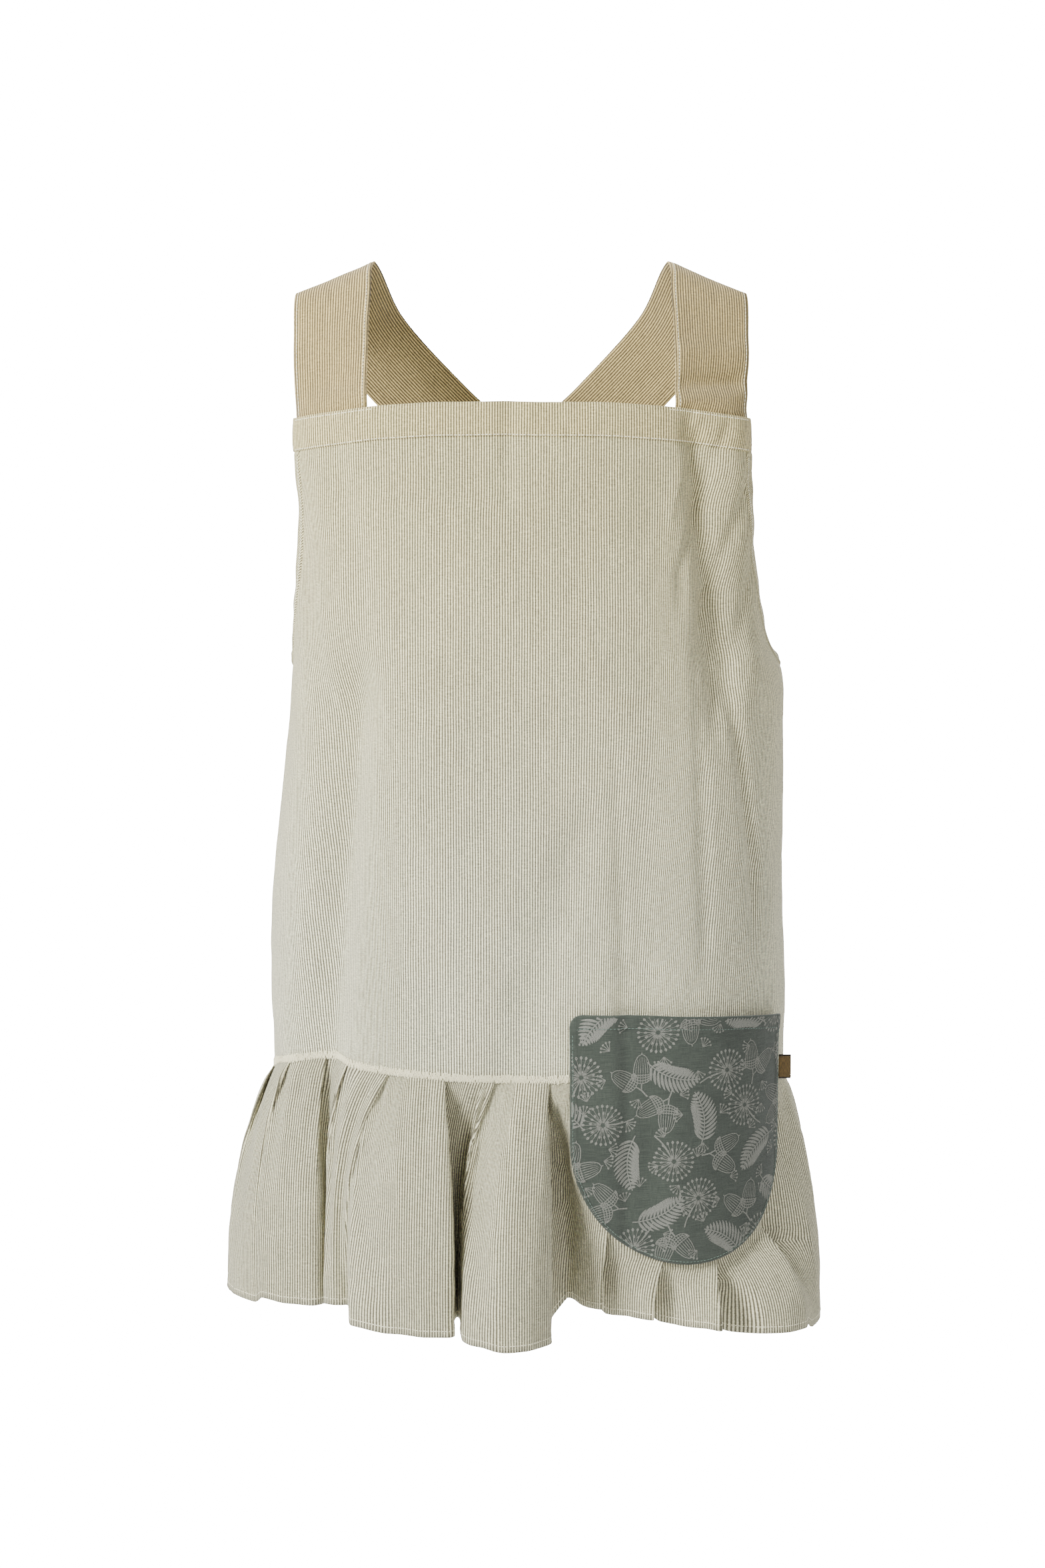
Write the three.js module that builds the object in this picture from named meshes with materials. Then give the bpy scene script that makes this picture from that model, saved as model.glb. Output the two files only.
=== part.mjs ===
// A cross back apron of striped cotton: a straight bib, two broad straps that cross behind, a loose
// skirt, a pleated ruffle round the bottom and one big printed pocket that hangs over the ruffle.
// Millimetres, +Z up, +X to the wearer's left, the wearer faces -Y.
// The origin lies midway between the two places where the straps lie on the shoulders.
import * as THREE from "three";

// Lengths of the whole garment
const clearance = 0.3; // between pieces that are sewn together
const clothWall = 1.4; // skirt and back panels
const hemWall = 2.6; // cloth turned twice: the bib's top band and the armhole hems
const frillWall = 1.1; // ruffle
const sideReach = 232; // half the garment's width under the arm
const chestDepth = 150; // from the origin to the front of the chest
const backDepth = 125; // from the origin to the shoulder blades
const bibDrop = 114; // shoulder down to the bib's top edge
const bibHalf = 201; // half the bib's width
const bibDroop = 18; // how far the bib's corners hang below its middle
const droopPower = 3; // the higher, the nearer the corners the droop begins
const bandHeight = 30;
const underarmDrop = 348;
const underarmShare = 0.5; // where the side seam lies on each half of the girth
const backEdgeRise = 18; // how far the back's top edge climbs to the straps
const backOpening = 70; // between the two edges behind
const hemWidth = 10; // turned hem round the armholes
const seamDrop = 706; // shoulder down to the ruffle's seam
const seamHeight = 8; // overlocked seam between skirt and ruffle
const seamWall = 2.2;
const seamGap = 0.5; // between the overlocked seam and the cloth above and below it
const hemDrop = 940; // shoulder down to the hem
const hemReach = 273; // half the width of the hem
const hemDepth = 200; // how far the hem reaches forward and back

// Straps
const strapWidth = 72;
const strapWall = 2.2;
const strapSpan = 167; // from the middle to a strap's centre line
const strapLap = 26; // how far a strap goes down behind the bib and the back panels
const crossLift = 3.4; // one strap over the other
const crossReach = 0.086; // share of the strap that the crossing takes on each side of it
const backFrom = 0.5; // share of the strap where it comes down onto the back
const backBlend = 0.3; // share of the rest over which it settles there

// Pocket and its label
const pocketWidth = 214;
const pocketHeight = 226;
const pocketSide = 112; // straight sides above the round bottom
const pocketTop = 649; // shoulder down to the pocket's edge
const pocketDroop = 17; // how far the pocket's edge hangs at the side
const pocketAt = 147; // from the middle to the pocket's centre
const pocketWall = 1.4;
const pocketStand = 6.4; // the pocket's cloth stands this far off the skirt, over the pleats
const mouthBulge = 10; // more at the middle of its edge
const pocketFade = 1.25; // share of the pocket's half width where the ruffle hangs free again
const pocketHold = 0.8; // how far down the ruffle hangs flat under the pocket
const labelWidth = 11;
const labelHeight = 22;
const labelWall = 1.2;
const labelDrop = 38; // below the pocket's edge
const labelLean = 0.45; // 0 stands straight out, 1 lies along the skirt

// Pleats
const pleatPitch = 47;
const pleatUnder = 11; // how far each fold goes under its neighbour
const layerPitch = 2; // from layer to layer where three lie on each other
const flutePlay = 13; // how far a fold swings in and out at the hem behind
const foldShare = 0.34; // the most of a pleat's width that its fold may take
const foldTurn = 1; // how far a tight fold's end stands from its two layers
const openStep = 1.3; // from column to column where a fold lies open
const openDown = 0.3; // how far down the ruffle it lies open
const outSpeed = 2.3; // how soon the ruffle swings out below the seam, 1 is evenly
const spreadSpeed = 3; // how soon its folds spread along the hem

// The garment's level sections: how far each reaches to the sides, forward and back
const sections = [
  { drop: 0, left: 0.9, right: 0.9, front: 0.6, back: 0.72 },
  { drop: 0.117, left: 0.914, right: 0.918, front: 0.71, back: 0.82 },
  { drop: 0.176, left: 0.91, right: 0.93, front: 0.79, back: 0.92 },
  { drop: 0.266, left: 0.888, right: 0.928, front: 0.935, back: 0.97 },
  { drop: 0.34, left: 0.88, right: 0.944, front: 1.0, back: 1.0 },
  { drop: 0.385, left: 0.878, right: 1.01, front: 1.02, back: 1.02 },
  { drop: 0.457, left: 0.905, right: 1.022, front: 1.035, back: 1.05 },
  { drop: 0.585, left: 0.968, right: 1.022, front: 1.06, back: 1.1 },
  { drop: 0.7, left: 0.978, right: 1.038, front: 1.09, back: 1.15 },
  { drop: 0.75, left: 0.966, right: 1.034, front: 1.12, back: 1.18 },
  { drop: 1.03, left: 0.966, right: 1.034, front: 1.12, back: 1.18 },
];
const squareness = 2.5; // 2 is an oval, more is squarer

// Soft folds in the skirt: from (top, across) to (foot, footAcross), out is negative for a valley
const foldRise = 0.25; // share of a fold's length over which it comes up
const foldFall = 0.33; // share over which it dies away
const foldPast = 1.35; // share at which it has gone
const softFolds = [
  { name: "left valley", top: 0.4, across: -0.62, foot: 0.75, footAcross: -0.6, wide: 0.11, out: -7 },
  { name: "left ridge", top: 0.3, across: -0.72, foot: 0.75, footAcross: -0.76, wide: 0.1, out: 5 },
  { name: "bust fold", top: 0.16, across: 0.57, foot: 0.38, footAcross: 0.72, wide: 0.07, out: -8 },
  { name: "strap ridge", top: 0.15, across: 0.66, foot: 0.36, footAcross: 0.84, wide: 0.07, out: 5 },
  { name: "underarm fold", top: 0.31, across: 0.76, foot: 0.56, footAcross: 0.9, wide: 0.06, out: -6 },
  { name: "long valley", top: 0.5, across: 0.25, foot: 0.75, footAcross: -0.04, wide: 0.12, out: -4 },
  { name: "right valley", top: 0.5, across: 0.45, foot: 0.75, footAcross: 0.47, wide: 0.1, out: -4 },
  { name: "bib dent", top: 0.1, across: -0.045, foot: 0.2, footAcross: -0.05, wide: 0.05, out: -2 },
];

// How far the seam hangs below seamDrop round each half of the girth
const seamLine = [
  { girth: -1, fall: 0.034 },
  { girth: -0.52, fall: 0.036 },
  { girth: -0.42, fall: 0.012 },
  { girth: -0.3, fall: -0.012 },
  { girth: -0.2, fall: -0.006 },
  { girth: 0, fall: 0.002 },
  { girth: 0.2, fall: -0.004 },
  { girth: 0.36, fall: 0.01 },
  { girth: 0.52, fall: 0.045 },
  { girth: 1, fall: 0.034 },
];

// The pleats that show in front, from the wearer's right. seam is where the pleat's edge is sewn, as
// a share of sideReach. The rest are shares of hemReach and hemDepth: where the cloth comes out at
// the hem, its crown, its edge and the bottom of the gap behind the edge. lift raises the hem.
const frontPleats = [
  // seam, start, crown, edge, gap, lift
  [-0.957, [-0.99, -0.08], [-1, 0], [-0.99, 0.1], [-0.982, 0.12], 0],
  [-0.885, [-0.97, 0.16], [-0.935, 0.24], [-0.9, 0.3], [-0.89, 0.31], 0],
  [-0.79, [-0.87, 0.34], [-0.785, 0.41], [-0.69, 0.445], [-0.66, 0.42], 0.006],
  [-0.672, [-0.645, 0.38], [-0.63, 0.34], [-0.63, 0.38], [-0.645, 0.44], 0.01],
  [-0.505, [-0.655, 0.5], [-0.615, 0.53], [-0.577, 0.525], [-0.567, 0.6], 0.01],
  [-0.29, [-0.562, 0.72], [-0.39, 0.885], [-0.225, 0.935], [-0.225, 0.8], 0.004],
  [-0.1, [-0.222, 0.65], [-0.21, 0.58], [-0.199, 0.65], [-0.197, 0.78], 0.002],
  [0.105, [-0.19, 0.92], [-0.045, 1.1], [0.088, 0.99], [0.085, 0.68], 0],
  [0.34, [0.15, 0.58], [0.205, 0.68], [0.264, 0.76], [0.25, 0.68], 0.02],
  [0.55, [0.275, 0.66], [0.36, 0.72], [0.432, 0.775], [0.42, 0.69], 0.01],
  [0.75, [0.45, 0.66], [0.56, 0.76], [0.652, 0.83], [0.64, 0.72], 0.003],
  [0.92, [0.67, 0.64], [0.82, 0.7], [0.94, 0.6], [0.95, 0.53], -0.008],
  [1.02, [0.965, 0.48], [1.0, 0.32], [1.005, 0.16], [1.0, 0.1], -0.014],
].map(([seam, start, crown, edge, gap, lift]) => ({ seam, start, crown, edge, gap, lift }));

// A strap from behind the bib over the shoulder to behind the far back panel. drop is a share of
// bibDrop, across of strapSpan, out of chestDepth. yaw turns the outer edge back, bank turns it down.
// The two ends' drops follow from strapLap.
const strapLine = [
  { across: 1.0, out: -0.495, yaw: 28, bank: 10 },
  { across: 1.005, out: -0.44, drop: 1.02, yaw: 26, bank: 10 },
  { across: 1.01, out: -0.25, drop: 0.52, yaw: 16, bank: 15 },
  { across: 1.0, out: -0.03, drop: 0.13, yaw: 2, bank: 22 },
  { across: 0.96, out: 0.22, drop: 0.16, yaw: -10, bank: 25 },
  { across: 0.81, out: 0.5, drop: 0.62, yaw: -20, bank: 34 },
  { across: 0.45, out: 0.7, drop: 1.22, yaw: -14, bank: 42 },
  { across: 0.0, out: 0.785, drop: 1.84, yaw: 0, bank: 44 },
  { across: -0.34, out: 0.81, drop: 2.42, yaw: 8, bank: 36 },
  { across: -0.53, out: 0.815, yaw: 12, bank: 26 },
];
const crossingAt = 7; // the row of strapLine where the two straps cross

// How fine the meshes are
const ringSteps = 72;
const frontColumns = 36;
const bibColumns = 22; // of the front columns, those that end under the band
const frontRows = 13;
const backColumns = 12;
const backRows = 8;
const strapSteps = 30;
const strapColumns = 3;
const pocketColumns = 14;
const pocketRows = 8;
const frillLevels = [0, 0.13, 0.3, 0.5, 0.74, 1];

// Finishes
const ticking = { color: 0xcbc8ba, roughness: 0.92, metalness: 0 };
const tickingDouble = { color: 0xccc4b0, roughness: 0.92, metalness: 0 };
const overlock = { color: 0xe6e4d6, roughness: 0.85, metalness: 0 };
const printedLinen = { color: 0x66706a, roughness: 0.9, metalness: 0 };
const wovenLabel = { color: 0x8a6d35, roughness: 0.7, metalness: 0 };

const mix = THREE.MathUtils.lerp;
const clamp = THREE.MathUtils.clamp;
const smooth = (share) => THREE.MathUtils.smoothstep(share, 0, 1);

// The value of one column of a table at a place between its rows, eased from row to row
function read(table, key, column, at) {
  const last = table.length - 2;
  let row = table.findIndex((entry) => entry[key] > at) - 1;
  if (row < 0) row = at < table[0][key] ? 0 : last;
  const before = table[Math.max(row - 1, 0)];
  const low = table[row];
  const high = table[row + 1];
  const after = table[Math.min(row + 2, table.length - 1)];
  const span = high[key] - low[key];
  const share = clamp((at - low[key]) / span, 0, 1);
  const slopeLow = ((high[column] - before[column]) / (high[key] - before[key])) * span;
  const slopeHigh = ((after[column] - low[column]) / (after[key] - low[key])) * span;
  const square = share * share;
  const cube = square * share;
  return (
    (2 * cube - 3 * square + 1) * low[column] +
    (cube - 2 * square + share) * slopeLow +
    (3 * square - 2 * cube) * high[column] +
    (cube - square) * slopeHigh
  );
}

// One half of a level section as a line of points from the front's middle to the back's middle
const rings = new Map();
function ringAt(level, side) {
  const name = `${Math.round(level * 10)} ${side}`;
  if (rings.has(name)) return rings.get(name);
  const drop = -level / hemDrop;
  const half = sideReach * read(sections, "drop", side < 0 ? "left" : "right", drop);
  const front = chestDepth * read(sections, "drop", "front", drop);
  const back = backDepth * read(sections, "drop", "back", drop);
  const points = [];
  const along = [0];
  for (let step = 0; step <= ringSteps; step += 1) {
    const turn = (Math.PI * step) / ringSteps;
    const sine = Math.sin(turn) ** (2 / squareness);
    const cosine = Math.abs(Math.cos(turn)) ** (2 / squareness);
    const y = turn < Math.PI / 2 ? -front * cosine : back * cosine;
    points.push(new THREE.Vector2(side * half * sine, y));
    if (step) along.push(along[step - 1] + points[step].distanceTo(points[step - 1]));
  }
  const ring = { points, along, length: along[ringSteps] };
  rings.set(name, ring);
  return ring;
}

// A point on the garment's inner face, girth from -1 through 0 in front to 1, without its folds
function bareAt(girth, level) {
  const side = girth < 0 ? -1 : 1;
  const ring = ringAt(level, side);
  const wanted = Math.min(Math.abs(girth), 1) * ring.length;
  let step = ring.along.findIndex((length) => length >= wanted);
  step = Math.max(step, 1);
  const share = (wanted - ring.along[step - 1]) / (ring.along[step] - ring.along[step - 1]);
  return ring.points[step - 1].clone().lerp(ring.points[step], share);
}

// The outward direction of a level section
function outwardAt(girth, level) {
  const reach = 0.012;
  const ahead = bareAt(girth + reach, level);
  const behind = bareAt(girth - reach, level);
  const along = ahead.sub(behind).normalize();
  return new THREE.Vector2(along.y, -along.x);
}

// Where on the girth the front, or the back, lies a given distance from the middle
function girthOf(across, level, behind = false) {
  const side = across < 0 ? -1 : 1;
  const ring = ringAt(level, side);
  const wanted = Math.abs(across);
  const widest = ringSteps / 2;
  if (wanted >= ring.points[widest].x * side) return (side * ring.along[widest]) / ring.length;
  const wide = (point, index) => point.x * side >= wanted && index <= widest;
  const narrow = (point, index) => point.x * side <= wanted && index > widest;
  const step = Math.max(ring.points.findIndex(behind ? narrow : wide), 1);
  const low = ring.points[step - 1].x * side;
  const high = ring.points[step].x * side;
  const share = (wanted - low) / (high - low);
  return (side * mix(ring.along[step - 1], ring.along[step], share)) / ring.length;
}

// How far the soft folds move the cloth out
function foldAt(across, level) {
  const drop = -level / hemDrop;
  let out = 0;
  for (const fold of softFolds) {
    const down = (drop - fold.top) / (fold.foot - fold.top);
    const centre = mix(fold.across, fold.footAcross, clamp(down, 0, 1)) * sideReach;
    const off = (across - centre) / (fold.wide * sideReach);
    const ends = smooth(down / foldRise + 0.5) * smooth((foldPast - down) / foldFall);
    out += fold.out * Math.exp(-off * off) * ends;
  }
  return out;
}

// A point of the garment at a distance out from its inner face
function clothAt(girth, level, out) {
  const bare = bareAt(girth, level);
  const outward = outwardAt(girth, level);
  const fold = Math.abs(girth) < underarmShare ? foldAt(bare.x, level) : 0;
  bare.addScaledVector(outward, out + fold);
  return new THREE.Vector3(bare.x, bare.y, level);
}

// The bib's top edge
function bibLine(across) {
  return -bibDrop - bibDroop * Math.abs(across / bibHalf) ** droopPower;
}

function seamLevel(girth) {
  return -seamDrop * (1 + read(seamLine, "girth", "fall", girth));
}

// The edge of the armhole and of the back, from the band (0) under the arm (1) to the back's edge (2)
function openEdge(side, place, inset) {
  const cornerLevel = bibLine(bibHalf) - bandHeight - clearance;
  const cornerGirth = Math.abs(girthOf(side * bibHalf, cornerLevel));
  const backGirth = 1 - backOpening / 2 / ringAt(-underarmDrop, side).length;
  const edge = (at) => {
    if (at <= 1) {
      const turn = (at * Math.PI) / 2;
      return {
        girth: mix(cornerGirth, underarmShare, 1 - Math.cos(turn)),
        level: mix(cornerLevel, -underarmDrop, Math.sin(turn)),
      };
    }
    return {
      girth: mix(underarmShare, backGirth, at - 1),
      level: -underarmDrop + backEdgeRise * smooth(at - 1),
    };
  };
  const here = edge(place);
  const reach = 0.02;
  const ahead = edge(Math.min(place + reach, 2));
  const behind = edge(Math.max(place - reach, 0));
  const length = ringAt(here.level, side).length;
  const along = new THREE.Vector2((ahead.girth - behind.girth) * length, ahead.level - behind.level);
  along.normalize();
  const girth = here.girth + (inset * along.y) / length;
  let level = here.level - inset * along.x;
  if (place === 0) {
    const across = bareAt(side * girth, level).x;
    level = bibLine(across) - bandHeight - clearance;
  }
  return { girth: side * girth, level };
}

// A closed sheet from a grid of {inner, outer} points: columns first, then rows
function sheetMesh(name, grid, finish) {
  const columns = grid.length;
  const rows = grid[0].length;
  const positions = [];
  for (const face of ["inner", "outer"])
    for (const column of grid) for (const point of column) positions.push(...point[face].toArray());
  const at = (face, column, row) => (face * columns + column) * rows + row;
  const triangles = [];
  const quad = (a, b, c, d) => triangles.push(a, b, c, a, c, d);
  for (let i = 0; i + 1 < columns; i += 1)
    for (let j = 0; j + 1 < rows; j += 1) {
      quad(at(1, i, j), at(1, i, j + 1), at(1, i + 1, j + 1), at(1, i + 1, j));
      quad(at(0, i, j), at(0, i + 1, j), at(0, i + 1, j + 1), at(0, i, j + 1));
    }
  for (let i = 0; i + 1 < columns; i += 1) {
    quad(at(0, i, 0), at(1, i, 0), at(1, i + 1, 0), at(0, i + 1, 0));
    quad(at(0, i, rows - 1), at(0, i + 1, rows - 1), at(1, i + 1, rows - 1), at(1, i, rows - 1));
  }
  for (let j = 0; j + 1 < rows; j += 1) {
    quad(at(0, 0, j), at(0, 0, j + 1), at(1, 0, j + 1), at(1, 0, j));
    quad(at(0, columns - 1, j), at(1, columns - 1, j), at(1, columns - 1, j + 1), at(0, columns - 1, j + 1));
  }
  const geometry = new THREE.BufferGeometry();
  geometry.setAttribute("position", new THREE.Float32BufferAttribute(positions, 3));
  geometry.setIndex(triangles);
  geometry.computeVertexNormals();
  const mesh = new THREE.Mesh(geometry, new THREE.MeshStandardMaterial(finish));
  mesh.name = name;
  return mesh;
}

// A grid whose columns run from one share to another, each point made by a function
function gridOf(columns, rows, pointAt) {
  const grid = [];
  for (let i = 0; i <= columns; i += 1) {
    const column = [];
    for (let j = 0; j <= rows; j += 1) column.push(pointAt(i / columns, j / rows));
    grid.push(column);
  }
  return grid;
}

// Both faces of a piece of cloth that lies on the garment
function layer(girth, level, from, to) {
  return { inner: clothAt(girth, level, from), outer: clothAt(girth, level, to) };
}

// The front panel: straight under the band, hollowed at the armholes, down to the ruffle's seam
function frontPanel() {
  const bibShare = bibColumns / frontColumns;
  const inset = hemWidth + clearance;
  const corners = [openEdge(-1, 0, inset), openEdge(1, 0, inset)];
  const cornerAcross = corners.map((corner) => bareAt(corner.girth, corner.level).x);
  const top = (share) => {
    const side = share < 0 ? -1 : 1;
    const size = Math.abs(share);
    if (size > bibShare) return openEdge(side, (size - bibShare) / (1 - bibShare), inset);
    const across = (cornerAcross[side < 0 ? 0 : 1] * size) / bibShare;
    const level = bibLine(across) - bandHeight - clearance;
    return { girth: girthOf(across, level), level };
  };
  return sheetMesh(
    "front_panel",
    gridOf(frontColumns, frontRows, (u, v) => {
      const share = 2 * u - 1;
      const start = top(share);
      const trim = clearance / 2 / ringAt(-seamDrop, 1).length;
      const foot = share * (underarmShare - trim);
      const head = Math.abs(share) === 1 ? foot : start.girth;
      const girth = mix(head, foot, v);
      const level = mix(start.level, seamLevel(foot) + seamHeight / 2 + seamGap, v);
      return layer(girth, level, 0, clothWall);
    }),
    ticking,
  );
}

// A back panel: from the side seam to the opening behind
function backPanel(name, side) {
  const panel = gridOf(backColumns, backRows, (u, v) => {
    const place = side < 0 ? 2 - u : 1 + u;
    const start = openEdge(side, place, hemWidth + clearance);
    const foot = backFoot(side, place - 1);
    const trim = place === 1 ? (side * clearance) / 2 / ringAt(-seamDrop, side).length : 0;
    const girth = mix(start.girth, foot, v) + trim;
    const level = mix(start.level, seamLevel(foot) + seamHeight / 2 + seamGap, v);
    return layer(girth, level, 0, clothWall);
  });
  return sheetMesh(name, panel, ticking);
}

// Where a back panel's line meets the seam, from the side seam (0) to the opening (1)
function backFoot(side, share) {
  const edge = 1 - backOpening / 2 / ringAt(-seamDrop, side).length;
  return side * mix(underarmShare, edge, share);
}

// The bib's top band: the cloth turned twice to the inside and stitched along both edges
function bibBand() {
  return sheetMesh(
    "bib_band",
    gridOf(frontColumns, 2, (u, v) => {
      const across = bibHalf * (2 * u - 1);
      const level = bibLine(across) - bandHeight * v;
      return layer(girthOf(across, level), level, 0, hemWall);
    }),
    tickingDouble,
  );
}

// The turned hem round an armhole and along the back's top edge
function openHem(name, side) {
  const sideColumns = (frontColumns - bibColumns) / 2;
  const columns = sideColumns + backColumns;
  const strip = gridOf(columns, 1, (u, v) => {
    const column = Math.round((side < 0 ? 1 - u : u) * columns);
    const place = column < sideColumns ? column / sideColumns : 1 + (column - sideColumns) / backColumns;
    const edge = openEdge(side, place, hemWidth * v);
    return layer(edge.girth, edge.level, 0, hemWall);
  });
  return sheetMesh(name, strip, tickingDouble);
}

// The overlocked seam that joins skirt and ruffle
function ruffleSeam() {
  const columns = frontColumns + 2 * backColumns;
  return sheetMesh(
    "ruffle_seam",
    gridOf(columns, 1, (u, v) => {
      const column = Math.round(u * columns) - backColumns;
      const share = (2 * column) / frontColumns - 1;
      const beyond = column < 0 ? -column : column - frontColumns;
      const girth = beyond > 0 ? backFoot(Math.sign(share), beyond / backColumns) : share * underarmShare;
      const level = seamLevel(girth) + seamHeight * (0.5 - v);
      return layer(girth, level, 0, seamWall);
    }),
    overlock,
  );
}

// One strap, a flat band of doubled cloth. side is 1 for the strap on the +X shoulder. Its two ends
// lie behind the bib and behind the far back panel.
function strap(name, side, lift) {
  const last = strapLine.length - 1;
  const ends = { 0: bibLine(strapSpan) - strapLap, [last]: -underarmDrop + backEdgeRise - strapLap };
  const rows = strapLine.map((row, index) => ({
    place: new THREE.Vector3(
      row.across * strapSpan,
      row.out * chestDepth,
      ends[index] ?? -row.drop * bibDrop,
    ),
    yaw: THREE.MathUtils.degToRad(row.yaw),
    bank: THREE.MathUtils.degToRad(row.bank),
  }));
  const line = new THREE.CatmullRomCurve3(rows.map((row) => row.place), false, "centripetal");
  const cross = crossingAt / last;
  const onCloth = (point, out, behind, share) => {
    const girth = girthOf(point.x * side, point.z, behind);
    const cloth = clothAt(girth, point.z, out - strapWall - clearance);
    cloth.x *= side;
    point.lerp(cloth, share);
  };
  return sheetMesh(
    name,
    gridOf(strapSteps, strapColumns, (u, v) => {
      const share = side > 0 ? u : 1 - u;
      const row = Math.min(Math.floor(share * last), last - 1);
      const part = smooth(share * last - row);
      const yaw = mix(rows[row].yaw, rows[row + 1].yaw, part);
      const bank = mix(rows[row].bank, rows[row + 1].bank, part);
      const along = line.getTangent(share);
      const wide = new THREE.Vector3(
        Math.cos(yaw) * Math.cos(bank),
        Math.sin(yaw) * Math.cos(bank),
        -Math.sin(bank),
      );
      wide.addScaledVector(along, -wide.dot(along)).normalize();
      const out = new THREE.Vector3().crossVectors(wide, along).normalize();
      const away = Math.abs(share - cross) / crossReach;
      const raise = lift * smooth(clamp(2 - away, 0, 1));
      const middle = line.getPoint(share).addScaledVector(wide, strapWidth * (v - 0.5));
      const faces = [0, strapWall].map((face) => {
        const point = middle.clone().addScaledVector(out, raise + face);
        const behind = share > 0.5;
        const lap = clamp((bibLine(point.x) + strapLap - point.z) / strapLap, 0, 1);
        const back = clamp((share - backFrom) / (1 - backFrom) / backBlend, 0, 1);
        onCloth(point, raise + face, behind, smooth(behind ? back : lap));
        point.x *= side;
        return point;
      });
      return { inner: faces[0], outer: faces[1] };
    }),
    tickingDouble,
  );
}

// How far the ruffle has gone from the seam's shape to the hem's, out and along
const flareOut = (down) => 1 - (1 - down) ** outSpeed;
const flareAlong = (down) => 1 - (1 - down) ** spreadSpeed;

// The columns of one pleat at the seam, from the fold hidden under the last edge, over the crown,
// round the pleat's edge and back under it. share goes from the last edge to this one, tuck goes
// back under it, turn is in steps of foldTurn, layer counts outward, and hem counts the pleat's
// points at the hem.
const pleatLine = [
  { share: 0, tuck: 1, turn: 0, layer: 0.5, hem: 0, open: 1 },
  { share: 0, tuck: 1, turn: 1, layer: 0, hem: 0.15, open: 2 },
  { share: 0, tuck: 0, turn: 2, layer: 0.1, hem: 0.45, open: 3 },
  { share: 0.4, tuck: 0, turn: 0, layer: 1.5, hem: 0.85, open: 0 },
  { share: 0.75, tuck: 0, turn: 0, layer: 2, hem: 1.4, open: 0 },
  { share: 1, tuck: 0, turn: -1, layer: 2, hem: 1.85, open: -3 },
  { share: 1, tuck: 0, turn: 0, layer: 1.5, hem: 2, open: -2 },
  { share: 1, tuck: 0, turn: -1, layer: 1, hem: 2.2, open: -1 },
  { share: 1, tuck: 1, turn: 1, layer: 1, hem: 3.1, open: 0 },
];
const hemPoints = 4; // points of a pleat at the hem

// A plain pleat's points at the hem: how far back from its edge, as a share of its width, and how far
// out each swings, as a share of flutePlay
const plainPleat = [
  { back: 0.92, out: -1 },
  { back: 0.45, out: 0.6 },
  { back: 0, out: 1 },
  { back: 0.02, out: -0.3 },
];

// Every pleat round the girth: where its edge is sewn and its four points at the hem
function pleatRows() {
  const seamRing = ringAt(-seamDrop, 1);
  const limits = [backFoot(-1, 1), backFoot(1, 1)];
  const deepen = (hemDepth - flutePlay) / -seamRing.points[0].y;
  const hemAt = (girth, out, lift) => {
    const bare = bareAt(girth, -seamDrop);
    const half = Math.abs(ringAt(-seamDrop, Math.sign(girth)).points[ringSteps / 2].x);
    const outward = outwardAt(girth, -seamDrop);
    const point = new THREE.Vector2((bare.x * (hemReach - flutePlay)) / half, bare.y * deepen);
    point.addScaledVector(outward, out * flutePlay);
    return new THREE.Vector3(point.x, point.y, -hemDrop * (1 - lift));
  };
  const plain = (girth, width, lift) => ({
    girth,
    hem: plainPleat.map(({ back, out }) => hemAt(girth - width * back, out, lift)),
  });
  const spread = (from, to, lift, extra) => {
    const count = Math.max(2, Math.round(((to - from) * seamRing.length) / pleatPitch));
    const width = (to - from) / count;
    return Array.from({ length: count - 1 + extra }, (_, n) => plain(from + width * (n + 1), width, lift));
  };
  const front = frontPleats.map(({ seam, start, crown, edge, gap, lift }) => ({
    girth: girthOf(seam * sideReach, -seamDrop),
    hem: [start, crown, edge, gap].map(
      ([across, ahead]) => new THREE.Vector3(across * hemReach, -ahead * hemDepth, -hemDrop * (1 - lift)),
    ),
  }));
  const ends = [front[0], front[front.length - 1]].map((pleat) => pleat.girth);
  const lifts = [frontPleats[0].lift, frontPleats[frontPleats.length - 1].lift];
  return [...spread(limits[0], ends[0], lifts[0], 0), ...front, ...spread(ends[1], limits[1], lifts[1], 1)];
}

// A fold turns over on its way down where the next pleat comes out in front of this one's edge
function turnsOver(pleat, next) {
  const outward = outwardAt(pleat.girth, -seamDrop);
  const step = next.hem[0].clone().sub(pleat.hem[2]);
  return step.x * outward.x + step.y * outward.y > layerPitch;
}

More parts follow.
